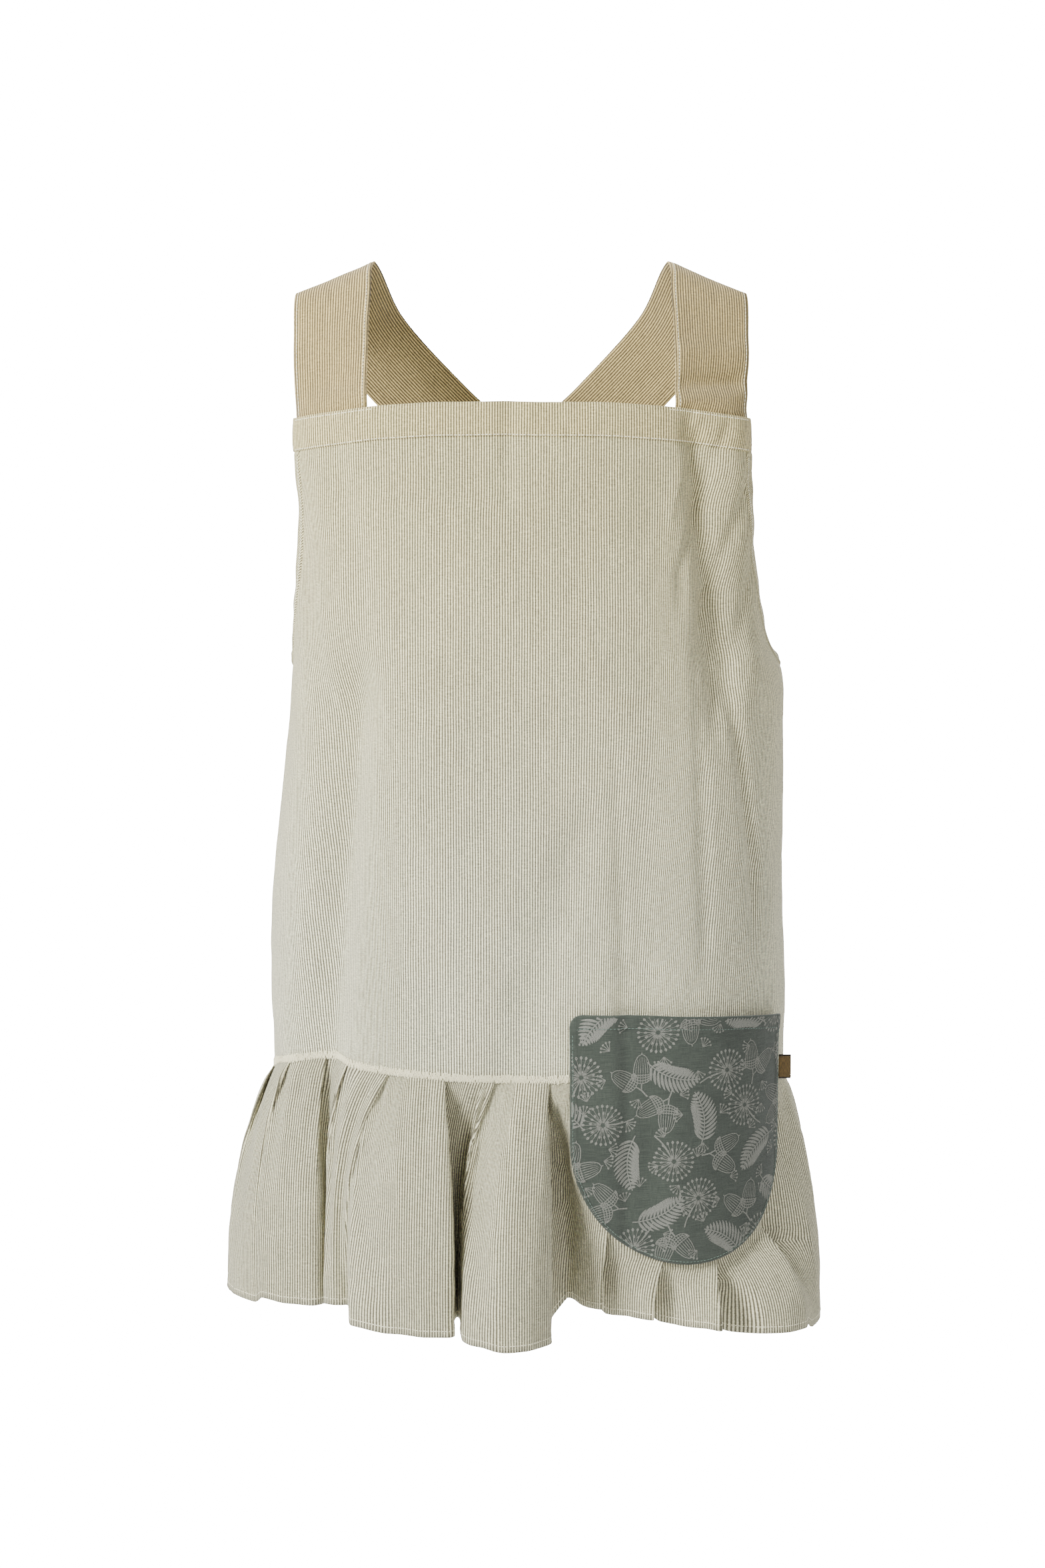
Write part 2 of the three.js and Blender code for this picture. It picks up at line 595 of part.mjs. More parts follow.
// The ruffle's columns, each with its place at the seam and at the hem
function ruffleColumns() {
  const pleats = pleatRows();
  const hem = new THREE.CatmullRomCurve3(pleats.flatMap((pleat) => pleat.hem), false, "centripetal");
  const hemPoint = (place) => hem.getPoint(clamp(place / (pleats.length * hemPoints - 1), 0, 1));
  const length = ringAt(-seamDrop, 1).length;
  const tuckOf = (index) => {
    const from = index ? pleats[index - 1].girth : backFoot(-1, 1);
    return Math.min(pleatUnder, foldShare * (pleats[index].girth - from) * length);
  };
  const columns = [];
  pleats.forEach((pleat, index) => {
    const lastEdge = index ? pleats[index - 1].girth : backFoot(-1, 1);
    const closing = index === pleats.length - 1;
    for (const [number, spot] of pleatLine.entries()) {
      if (closing && spot.share === 1 && spot.layer < 2) continue;
      const edge = spot.share === 0 ? index - 1 : index;
      const tuck = edge < 0 ? 0 : spot.tuck * tuckOf(edge);
      const turn = closing && spot.share === 1 ? 0 : spot.turn;
      const girth = mix(lastEdge, pleat.girth, spot.share) + (turn * foldTurn - tuck) / length;
      const atFold = spot.open !== 0 && edge >= 0 && edge < pleats.length - 1;
      const turning = atFold && turnsOver(pleats[edge], pleats[edge + 1]);
      const column = { girth, out: spot.layer * layerPitch, hem: hemPoint(index * hemPoints + spot.hem) };
      column.starts = number === 0 && index > 0;
      if (turning) {
        const between = pleats[edge].hem[2].clone().lerp(pleats[edge + 1].hem[0], 0.5);
        column.fold = { girth: pleats[edge].girth, hem: between, open: spot.open * openStep };
      }
      columns.push(column);
    }
  });
  return columns;
}

// A point of the ruffle's middle surface, down from 0 at the seam to 1 at the hem
function ruffleAt(column, down) {
  const under = pocketCover(column.girth);
  const held = under * pocketHold;
  const free = clamp((down - held) / (1 - held), 0, 1);
  const travel = (girth, out, hem) => {
    const outward = outwardAt(girth, -seamDrop);
    const along = new THREE.Vector2(-outward.y, outward.x);
    const top = clothAt(girth, -seamDrop, out + frillWall / 2);
    const seam = new THREE.Vector2(top.x, top.y);
    const way = new THREE.Vector2(hem.x, hem.y).sub(seam);
    seam.addScaledVector(along, way.dot(along) * flareAlong(mix(down, free, under)));
    return seam.addScaledVector(outward, way.dot(outward) * flareOut(free));
  };
  const place = travel(column.girth, column.out, column.hem);
  if (column.fold) {
    const { girth, hem, open } = column.fold;
    const centre = travel(girth, layerPitch, hem);
    const outward = outwardAt(girth, -seamDrop);
    const along = new THREE.Vector2(-outward.y, outward.x);
    const flat = along.multiplyScalar(open);
    const fold = clothAt(girth, -seamDrop, layerPitch);
    const step = clothAt(column.girth, -seamDrop, column.out).sub(fold);
    const atSeam = new THREE.Vector2(step.x, step.y);
    const atHem = new THREE.Vector2(column.hem.x - hem.x, column.hem.y - hem.y);
    if (down < openDown) place.copy(centre).add(atSeam.lerp(flat, smooth(down / openDown)));
    else place.copy(centre).add(flat.lerp(atHem, smooth((down - openDown) / (1 - openDown))));
  }
  const top = seamLevel(column.girth) - seamHeight / 2 - seamGap;
  return new THREE.Vector3(place.x, place.y, mix(top, column.hem.z, down));
}

// The ruffle's two faces, square to its plan, as a grid of columns and levels
function ruffleGrid(columns) {
  const middle = columns.map((column) => frillLevels.map((down) => ruffleAt(column, down)));
  return middle.map((column, i) => {
    const before = middle[Math.max(i - 1, 0)];
    const after = middle[Math.min(i + 1, middle.length - 1)];
    return column.map((point, j) => {
      const back = new THREE.Vector2(point.x - before[j].x, point.y - before[j].y).normalize();
      const on = new THREE.Vector2(after[j].x - point.x, after[j].y - point.y).normalize();
      const along = back.add(on).normalize();
      const out = new THREE.Vector3(along.y, -along.x, 0).multiplyScalar(frillWall / 2);
      return { inner: point.clone().sub(out), outer: point.clone().add(out) };
    });
  });
}

// The ruffle is joined from three lengths of cloth, with the joins hidden in folds at the sides
function ruffles() {
  const columns = ruffleColumns();
  const grid = ruffleGrid(columns);
  const starts = columns.flatMap((column, index) => (column.starts ? [index] : []));
  const joinNear = (girth) => {
    const off = (index) => Math.abs(columns[index].girth - girth);
    return starts.reduce((best, index) => (off(index) < off(best) ? index : best));
  };
  const trimmed = (end, next) =>
    end.map((faces, level) => {
      const moved = {};
      for (const face of ["inner", "outer"]) {
        const gap = faces[face].distanceTo(next[level][face]);
        moved[face] = faces[face].clone().lerp(next[level][face], clearance / gap);
      }
      return moved;
    });
  const piece = (name, from, to) => {
    const part = grid.slice(from, to + 1);
    const last = part.length - 1;
    if (from) part[0] = trimmed(part[0], part[1]);
    if (to < grid.length - 1) part[last] = trimmed(part[last], part[last - 1]);
    return sheetMesh(name, part, ticking);
  };
  const [right, left] = [joinNear(-underarmShare), joinNear(underarmShare)];
  return [
    piece("ruffle_back_right", 0, right),
    piece("ruffle_front", right, left),
    piece("ruffle_back_left", left, grid.length - 1),
  ];
}

const pocketGirth = (share) =>
  girthOf(pocketAt, -seamDrop) + (share * pocketWidth) / 2 / ringAt(-seamDrop, 1).length;

// 1 under the pocket, falling to 0 beyond its edges
function pocketCover(girth) {
  const half = pocketWidth / 2 / ringAt(-seamDrop, 1).length;
  const off = Math.abs(girth - pocketGirth(0)) / half;
  return smooth(clamp((pocketFade - off) / (pocketFade - 1), 0, 1));
}

// A point of the pocket, across from -1 to 1 and down from its edge to its round bottom
function pocketPoint(across, down, out) {
  const top = -pocketTop - pocketDroop * clamp((across + 1) / 2, 0, 1) ** 2;
  const round = Math.sqrt(Math.max(1 - across * across, 0));
  const level = top - down * (pocketSide + (pocketHeight - pocketSide) * round);
  const girth = pocketGirth(across);
  const sewn = clothWall + clearance;
  const overSeam = clamp((-pocketTop - level) / (seamDrop - pocketTop - seamHeight), 0, 1);
  const mouth = mouthBulge * (1 - across * across) * (1 - smooth(overSeam)) ** 2;
  const stand = mix(sewn, pocketStand, smooth(overSeam)) + mouth;
  return clothAt(girth, Math.max(level, -seamDrop), stand + out).setZ(level);
}

// The pocket: one layer with a turned edge, sewn on down its sides and round its bottom
function pocket() {
  const grid = gridOf(pocketColumns, pocketRows, (u, v) => {
    const across = -Math.cos(Math.PI * u);
    return { inner: pocketPoint(across, v, 0), outer: pocketPoint(across, v, pocketWall) };
  });
  return sheetMesh("pocket", grid, printedLinen);
}

// The folded label that stands out from the pocket's far edge
function label() {
  const girth = pocketGirth(1);
  const outward = outwardAt(girth, -seamDrop);
  const along = new THREE.Vector2(-outward.y, outward.x);
  const level = pocketPoint(1, 0, 0).z - labelDrop;
  const grid = gridOf(1, 2, (u, v) => {
    const height = level - labelHeight * v;
    const top = clothAt(girth, Math.max(height, -seamDrop), pocketStand + pocketWall / 2);
    const step = clearance + labelWall + labelWidth * labelLean * u;
    const stand = labelWidth * Math.sqrt(1 - labelLean ** 2) * u;
    const faces = [-labelWall / 2, labelWall / 2].map((face) => {
      const x = top.x + along.x * (step - face) + outward.x * (stand + face * labelLean);
      const y = top.y + along.y * (step - face) + outward.y * (stand + face * labelLean);
      return new THREE.Vector3(x, y, height);
    });
    return { inner: faces[0], outer: faces[1] };
  });
  return sheetMesh("label_tab", grid, wovenLabel);
}

const apron = new THREE.Group();
const skirt = new THREE.Group();
skirt.add(frontPanel(), backPanel("back_panel_right", -1), backPanel("back_panel_left", 1), ruffleSeam());
skirt.add(...ruffles());
const trim = new THREE.Group();
trim.add(bibBand(), openHem("armhole_hem_right", -1), openHem("armhole_hem_left", 1));
trim.add(strap("strap_right", -1, 0), strap("strap_left", 1, crossLift));
const pocketGroup = new THREE.Group();
pocketGroup.add(pocket(), label());
apron.add(skirt, trim, pocketGroup);

export default apron;
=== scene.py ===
import math

import bpy
import numpy as np
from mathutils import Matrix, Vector, noise


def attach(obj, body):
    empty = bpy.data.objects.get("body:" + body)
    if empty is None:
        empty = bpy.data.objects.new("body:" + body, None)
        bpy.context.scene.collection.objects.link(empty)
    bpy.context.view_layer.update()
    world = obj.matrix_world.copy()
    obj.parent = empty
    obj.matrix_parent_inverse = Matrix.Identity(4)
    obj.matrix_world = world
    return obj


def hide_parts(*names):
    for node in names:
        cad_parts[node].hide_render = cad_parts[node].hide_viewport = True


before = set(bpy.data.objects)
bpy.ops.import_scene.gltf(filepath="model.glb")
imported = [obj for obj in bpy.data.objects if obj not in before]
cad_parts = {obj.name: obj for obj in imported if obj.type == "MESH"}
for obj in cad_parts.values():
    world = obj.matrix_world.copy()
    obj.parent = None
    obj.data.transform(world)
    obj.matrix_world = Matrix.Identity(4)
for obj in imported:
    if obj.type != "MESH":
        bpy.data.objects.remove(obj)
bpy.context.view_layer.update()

# The studio: a pale floor, one broad soft light from the upper left, a weaker one from the right and
# one behind, and a camera at chest height, 3.6 m in front and tilted a little down.
MM = 0.001
FOCAL_LENGTH = 92.32  # on a film 36 mm tall
FILM = 36.0
CAMERA_PLACE = (0.0012, -3.63, 0.1)
CAMERA_TILT = math.radians(8.91)
APRON_MIDDLE = Vector((0, 0, -0.48))

camera_data = bpy.data.cameras.new("camera")
camera_data.sensor_fit = "VERTICAL"
camera_data.sensor_height = FILM
camera_data.lens = FOCAL_LENGTH
camera = bpy.data.objects.new("camera", camera_data)
camera.location = CAMERA_PLACE
camera.rotation_euler = (math.pi / 2 - CAMERA_TILT, 0, 0)
bpy.context.scene.collection.objects.link(camera)
bpy.context.scene.camera = camera

studio_lights = [
    # name, place, size, watts
    ("key_light", (-2.0, -1.9, 1.15), 1.0, 285),
    ("fill_light", (1.4, -3.6, 0.6), 2.2, 60),
    ("back_light", (1.2, 3.0, 1.4), 2.0, 90),
]
for name, place, size, watts in studio_lights:
    light_data = bpy.data.lights.new(name, "AREA")
    light_data.size = size
    light_data.energy = watts
    light = bpy.data.objects.new(name, light_data)
    light.location = place
    light.rotation_euler = (APRON_MIDDLE - light.location).to_track_quat("-Z", "Y").to_euler()
    bpy.context.scene.collection.objects.link(light)

# The air is brighter behind the apron than in front of it, as between two white screens.
AIR_FRONT = 0.5
AIR_BACK = 1.7
AIR_SEEN = 24  # the screens themselves are far brighter than what they light
AIR_FROM = -0.3  # between these two directions, from ahead to behind, it turns brighter
AIR_TO = 0.7
world = bpy.data.worlds.new("studio_air")
world.use_nodes = True
air = world.node_tree
way = air.nodes.new("ShaderNodeTexCoord")
ways = air.nodes.new("ShaderNodeSeparateXYZ")
air.links.new(way.outputs["Generated"], ways.inputs[0])
air.nodes["Background"].inputs["Color"].default_value = (1, 1, 1, 1)
brightness = air.nodes.new("ShaderNodeMapRange")
brightness.interpolation_type = "SMOOTHSTEP"
air_range = (("From Min", AIR_FROM), ("From Max", AIR_TO), ("To Min", AIR_FRONT), ("To Max", AIR_BACK))
for socket, value in air_range:
    brightness.inputs[socket].default_value = value
air.links.new(ways.outputs[1], brightness.inputs["Value"])
seen = air.nodes.new("ShaderNodeLightPath")
chosen = air.nodes.new("ShaderNodeMix")
chosen.inputs["B"].default_value = AIR_SEEN
air.links.new(seen.outputs["Is Camera Ray"], chosen.inputs["Factor"])
air.links.new(brightness.outputs[0], chosen.inputs["A"])
air.links.new(chosen.outputs["Result"], air.nodes["Background"].inputs["Strength"])
bpy.context.scene.world = world

FLOOR_LEVEL = -1.8
FLOOR_HALF = 6.0
FLOOR_BACK = 1.4
FLOOR_FRONT = -6.0
FLOOR_PAINT = (0.85, 0.85, 0.85, 1)
FLOOR_ROUGHNESS = 0.9
floor_mesh = bpy.data.meshes.new("pale_floor")
floor_corners = [
    (-FLOOR_HALF, FLOOR_FRONT, FLOOR_LEVEL),
    (FLOOR_HALF, FLOOR_FRONT, FLOOR_LEVEL),
    (FLOOR_HALF, FLOOR_BACK, FLOOR_LEVEL),
    (-FLOOR_HALF, FLOOR_BACK, FLOOR_LEVEL),
]
floor_mesh.from_pydata(floor_corners, [], [(0, 1, 2, 3)])
paint = bpy.data.materials.new("pale_paint")
paint.use_nodes = True
paint.node_tree.nodes["Principled BSDF"].inputs["Base Color"].default_value = FLOOR_PAINT
paint.node_tree.nodes["Principled BSDF"].inputs["Roughness"].default_value = FLOOR_ROUGHNESS
floor_mesh.materials.append(paint)
floor = bpy.data.objects.new("pale_floor", floor_mesh)
bpy.context.scene.collection.objects.link(floor)

# The front panel: bib and skirt front in one cotton ticking with its stripes upright, hollowed at the
# armholes, hung from the band and a little folded where the body and the straps pull it. Its form is
# the garment's own: level sections round the body, and soft folds that move them in and out.
CLEARANCE = 0.3
CLOTH_WALL = 1.4
HEM_WALL = 2.6
SIDE_REACH = 232
CHEST_DEPTH = 150
BACK_DEPTH = 125
BIB_DROP = 114
BIB_HALF = 201
BIB_DROOP = 18
BAND_HEIGHT = 30
UNDERARM_DROP = 348
UNDERARM_SHARE = 0.5
BACK_EDGE_RISE = 18
BACK_OPENING = 70
HEM_WIDTH = 10
SEAM_DROP = 706
SEAM_HEIGHT = 8
HEM_DROP = 940
TUCK = 4.5  # how far each cloth goes under the next one's edge
TUCK_FADE = 9
SUNK = 1  # how deep it lies there
SUNK_FROM = 1.5
SUNK_OVER = 3
SQUARENESS = 2.5
RING_STEPS = 360
GIRTH_STEPS = 400
LEVEL_STEP = 2.0

SECTIONS = np.array(
    [
        # drop, left, right, front, back
        (0, 0.9, 0.9, 0.6, 0.72),
        (0.117, 0.914, 0.918, 0.71, 0.82),
        (0.176, 0.91, 0.93, 0.79, 0.92),
        (0.266, 0.888, 0.928, 0.935, 0.97),
        (0.34, 0.88, 0.944, 1.0, 1.0),
        (0.385, 0.878, 1.01, 1.02, 1.02),
        (0.457, 0.905, 1.022, 1.035, 1.05),
        (0.585, 0.968, 1.022, 1.06, 1.1),
        (0.7, 0.978, 1.038, 1.09, 1.15),
        (0.75, 0.966, 1.034, 1.12, 1.18),
        (1.03, 0.966, 1.034, 1.12, 1.18),
    ]
)
SEAM_LINE = np.array(
    [
        # girth, fall
        (-1, 0.034),
        (-0.52, 0.036),
        (-0.42, 0.012),
        (-0.3, -0.012),
        (-0.2, -0.006),
        (0, 0.002),
        (0.2, -0.004),
        (0.36, 0.01),
        (0.52, 0.045),
        (1, 0.034),
    ]
)
SOFT_FOLDS = [
    # top, across, foot, foot across, wide, out
    (0.37, -0.63, 0.75, -0.77, 0.08, -17),
    (0.3, -0.8, 0.75, -0.88, 0.08, 4),
    (0.14, 0.65, 0.38, 0.745, 0.05, -12),
    (0.13, 0.8, 0.36, 0.88, 0.06, 5),
    (0.3, 0.75, 0.56, 0.89, 0.022, -5),
    (0.5, 0.25, 0.75, -0.04, 0.1, -5),
    (0.5, 0.45, 0.75, 0.47, 0.09, -5),
    (0.1, -0.045, 0.2, -0.05, 0.035, -3),
    (0.14, 0.78, 0.28, 0.6, 0.024, -3),
    (0.19, 0.86, 0.33, 0.69, 0.022, -3),
    (0.25, 0.88, 0.38, 0.79, 0.02, -2.5),
    (0.13, 0.68, 0.22, 0.56, 0.02, 2),
    (0.14, -0.72, 0.3, -0.6, 0.05, -2.5),
    (0.2, -0.86, 0.42, -0.74, 0.04, -3),
    (0.34, 0.66, 0.6, 0.7, 0.03, -2.5),
    (0.45, 0.36, 0.75, 0.4, 0.03, -2),
]
FOLD_RISE = 0.25
FOLD_FALL = 0.33
FOLD_PAST = 1.35


def mix(low, high, share):
    return low + (high - low) * share


def smooth(share):
    share = np.clip(share, 0, 1)
    return share * share * (3 - 2 * share)


def unit(vectors):
    return vectors / np.linalg.norm(vectors, axis=-1, keepdims=True)


def grid(start, end, columns, rows):
    """Places across from start to end and down from 0 to 1, as columns and rows."""
    return np.meshgrid(np.linspace(start, end, columns + 1), np.linspace(0, 1, rows + 1), indexing="ij")


def run_of(path):
    """The distance run along a path at each of its points."""
    return np.concatenate([[0], np.cumsum(np.linalg.norm(np.diff(path, axis=0), axis=1))])


def bent(share, start, end, low, high):
    """A smooth curve from start to end that leaves at the slope low and comes in at the slope high."""
    square, cube = share**2, share**3
    return (
        (2 * cube - 3 * square + 1) * start
        + (cube - 2 * square + share) * low
        + (3 * square - 2 * cube) * end
        + (cube - square) * high
    )


def eased(table, column, at):
    """A column of a table at places between its rows, eased from row to row."""
    places, values = table[:, 0], table[:, column]
    last = len(places) - 1
    row = np.clip(np.searchsorted(places, at, side="right") - 1, 0, last - 1)
    before, after = np.maximum(row - 1, 0), np.minimum(row + 2, last)
    span = places[row + 1] - places[row]
    share = np.clip((at - places[row]) / span, 0, 1)
    low = (values[row + 1] - values[before]) / (places[row + 1] - places[before]) * span
    high = (values[after] - values[row]) / (places[after] - places[row]) * span
    return bent(share, values[row], values[row + 1], low, high)


drops = np.arange(0, HEM_DROP * 1.04, LEVEL_STEP)
RING = np.zeros((2, len(drops), GIRTH_STEPS + 1, 2))
RING_LENGTH = np.zeros((2, len(drops)))
WIDEST = np.zeros((2, len(drops)))
turn = np.pi * np.arange(RING_STEPS + 1) / RING_STEPS
ring_sine = np.abs(np.sin(turn)) ** (2 / SQUARENESS)
ring_cosine = np.abs(np.cos(turn)) ** (2 / SQUARENESS)
for side in (0, 1):
    half = SIDE_REACH * eased(SECTIONS, 1 + side, drops / HEM_DROP)
    ahead = CHEST_DEPTH * eased(SECTIONS, 3, drops / HEM_DROP)
    behind = BACK_DEPTH * eased(SECTIONS, 4, drops / HEM_DROP)
    for level in range(len(drops)):
        x = (2 * side - 1) * half[level] * ring_sine
        y = np.where(turn < np.pi / 2, -ahead[level], behind[level]) * ring_cosine
        along = np.concatenate([[0], np.cumsum(np.hypot(np.diff(x), np.diff(y)))])
        even = np.linspace(0, along[-1], GIRTH_STEPS + 1)
        RING[side, level, :, 0] = np.interp(even, along, x)
        RING[side, level, :, 1] = np.interp(even, along, y)
        RING_LENGTH[side, level] = along[-1]
        WIDEST[side, level] = along[RING_STEPS // 2] / along[-1]


def row_at(level):
    """The row of levels just above a level, and how far the level lies towards the next."""
    row = np.clip(-np.asarray(level) / LEVEL_STEP, 0, len(drops) - 1.001)
    return row.astype(int), row - row.astype(int)


def by_level(table, girth, level):
    """A table's values for the side that girth is on, between its levels."""
    side = (np.asarray(girth) >= 0).astype(int)
    row, down = row_at(level)
    return mix(table[side, row], table[side, row + 1], down)


def bare(girth, level):
    """A point on the garment's inner face without its folds, girth from -1 through 0 in front to 1."""
    girth, level = np.broadcast_arrays(np.asarray(girth, float), np.asarray(level, float))
    side = (girth >= 0).astype(int)
    row, down = row_at(level)
    step = np.clip(np.abs(girth), 0, 1) * GIRTH_STEPS
    column = np.minimum(step.astype(int), GIRTH_STEPS - 1)
    along = (step - column)[..., None]
    upper = mix(RING[side, row, column], RING[side, row, column + 1], along)
    lower = mix(RING[side, row + 1, column], RING[side, row + 1, column + 1], along)
    point = mix(upper, lower, down[..., None])
    return point[..., 0], point[..., 1]


def outward(girth, level):
    reach = 0.012
    ax, ay = bare(np.asarray(girth) + reach, level)
    bx, by = bare(np.asarray(girth) - reach, level)
    size = np.hypot(ax - bx, ay - by)
    return (ay - by) / size, (bx - ax) / size


def girth_of(across, level, behind=False):
    """Where on the girth the front, or the back, lies a given distance from the middle."""
    across, level, behind = np.broadcast_arrays(np.asarray(across, float), np.asarray(level, float), behind)
    side = np.where(across < 0, -1.0, 1.0)
    low = np.where(behind, 1.0, 0.0)
    high = by_level(WIDEST, side, level)
    for _ in range(26):
        middle = (low + high) / 2
        short = np.abs(bare(side * middle, level)[0]) < np.abs(across)
        low, high = np.where(short, middle, low), np.where(short, high, middle)
    return side * (low + high) / 2


def fold_at(across, level):
    """How far the soft folds move the cloth out."""
    drop = -level / HEM_DROP
    out = 0
    for top, start, foot, end, wide, depth in SOFT_FOLDS:
        down = (drop - top) / (foot - top)
        off = (across - mix(start, end, np.clip(down, 0, 1)) * SIDE_REACH) / (wide * SIDE_REACH)
        ends = smooth(down / FOLD_RISE + 0.5) * smooth((FOLD_PAST - down) / FOLD_FALL)
        out = out + depth * np.exp(-off * off) * ends
    return out


def cloth(girth, level, out):
    """A point of the garment at a distance out from its inner face."""
    girth, level, out = np.broadcast_arrays(*(np.asarray(value, float) for value in (girth, level, out)))
    x, y = bare(girth, level)
    ox, oy = outward(girth, level)
    away = out + np.where(np.abs(girth) < UNDERARM_SHARE, fold_at(x, level), 0)
    return np.stack([x + ox * away, y + oy * away, level], -1)


def bib_line(across):
    return -BIB_DROP - BIB_DROOP * np.abs(across / BIB_HALF) ** 3


def seam_level(girth):
    return -SEAM_DROP * (1 + eased(SEAM_LINE, 1, girth))


def open_edge(side, place, inset):
    """The edge from the band (0) under the arm (1) to the back's edge (2)."""
    corner_level = bib_line(BIB_HALF) - BAND_HEIGHT - CLEARANCE
    corner = abs(girth_of(side * BIB_HALF, corner_level))
    back = 1 - BACK_OPENING / 2 / by_level(RING_LENGTH, side, -UNDERARM_DROP)

    def edge(at):
        quarter = np.clip(at, 0, 1) * np.pi / 2
        beyond = np.clip(at - 1, 0, 1)
        hollow = mix(corner, UNDERARM_SHARE, 1 - np.cos(quarter))
        girth = np.where(at <= 1, hollow, mix(UNDERARM_SHARE, back, beyond))
        rise = BACK_EDGE_RISE * smooth(beyond)
        level = np.where(at <= 1, mix(corner_level, -UNDERARM_DROP, np.sin(quarter)), rise - UNDERARM_DROP)
        return girth, level

    reach = 0.02
    girth, level = edge(place)
    after, before = edge(np.minimum(place + reach, 2)), edge(np.maximum(place - reach, 0))
    length = by_level(RING_LENGTH, side, level)
    dx, dz = (after[0] - before[0]) * length, after[1] - before[1]
    size = np.hypot(dx, dz)
    return side * (girth + inset * dz / size / length), level - inset * dx / size


# How the stripes run: they follow the cloth's own width from the middle, and drift towards the middle
# at the sides on the way down, where the body takes them round.
SPAN_STEPS = 900
span_girth = np.linspace(-1, 1, SPAN_STEPS + 1)
span_points = cloth(span_girth[None, :], -drops[:, None], CLOTH_WALL)[..., :2]
SPAN = np.zeros(span_points.shape[:2])
SPAN[:, 1:] = np.cumsum(np.linalg.norm(np.diff(span_points, axis=1), axis=2), axis=1)
SPAN -= SPAN[:, SPAN_STEPS // 2][:, None]
STRIPE_DRIFT = [
    # side, across, wide, from, to, amount
    (-1, 100, 70, 250, 720, -34),
    (1, 10, 170, 330, 720, 26),
    (1, 112, 60, 165, 290, 16),
    (1, 120, 60, 300, 380, -5),
]


def span_at(girth, level):
    """The cloth's width from its middle to a place on it."""
    row, down = row_at(level)
    step = np.clip((girth + 1) / 2, 0, 1) * SPAN_STEPS
    column = np.minimum(step.astype(int), SPAN_STEPS - 1)
    upper, lower = (mix(SPAN[i, column], SPAN[i, column + 1], step - column) for i in (row, row + 1))
    return mix(upper, lower, down)


def stripes_at(girth, level):
    """Across and down the cloth at a place on the garment, in the weave's own millimetres."""
    girth, level = np.broadcast_arrays(np.asarray(girth, float), np.asarray(level, float))
    across = span_at(girth, level)
    drift = 0
    for side, start, wide, top, foot, amount in STRIPE_DRIFT:
        over = smooth((side * across - start) / wide)
        drift = drift + amount * over * smooth((-level - top) / (foot - top))
    return np.stack([across + drift, -level], -1)


def rumple(across, down, size, seed):
    """Small uneven wrinkles, from -1 to 1."""
    flat = zip((across / size).ravel(), (down / size).ravel())
    return np.array([noise.noise(Vector((a, d, seed))) for a, d in flat]).reshape(across.shape)


def wrinkled(weave, wrinkles):
    """Wrinkles of several sizes over a cloth, each given as (out, size, seed)."""
    return sum(out * rumple(weave[..., 0], weave[..., 1], size, seed) for out, size, seed in wrinkles)


def under_edge(rough, inward):
    """Towards the edge that goes under the next cloth the wrinkles fade and the cloth lies deeper."""
    return rough * smooth((inward - TUCK) / TUCK_FADE) + SUNK * (smooth((inward - SUNK_FROM) / SUNK_OVER) - 1)


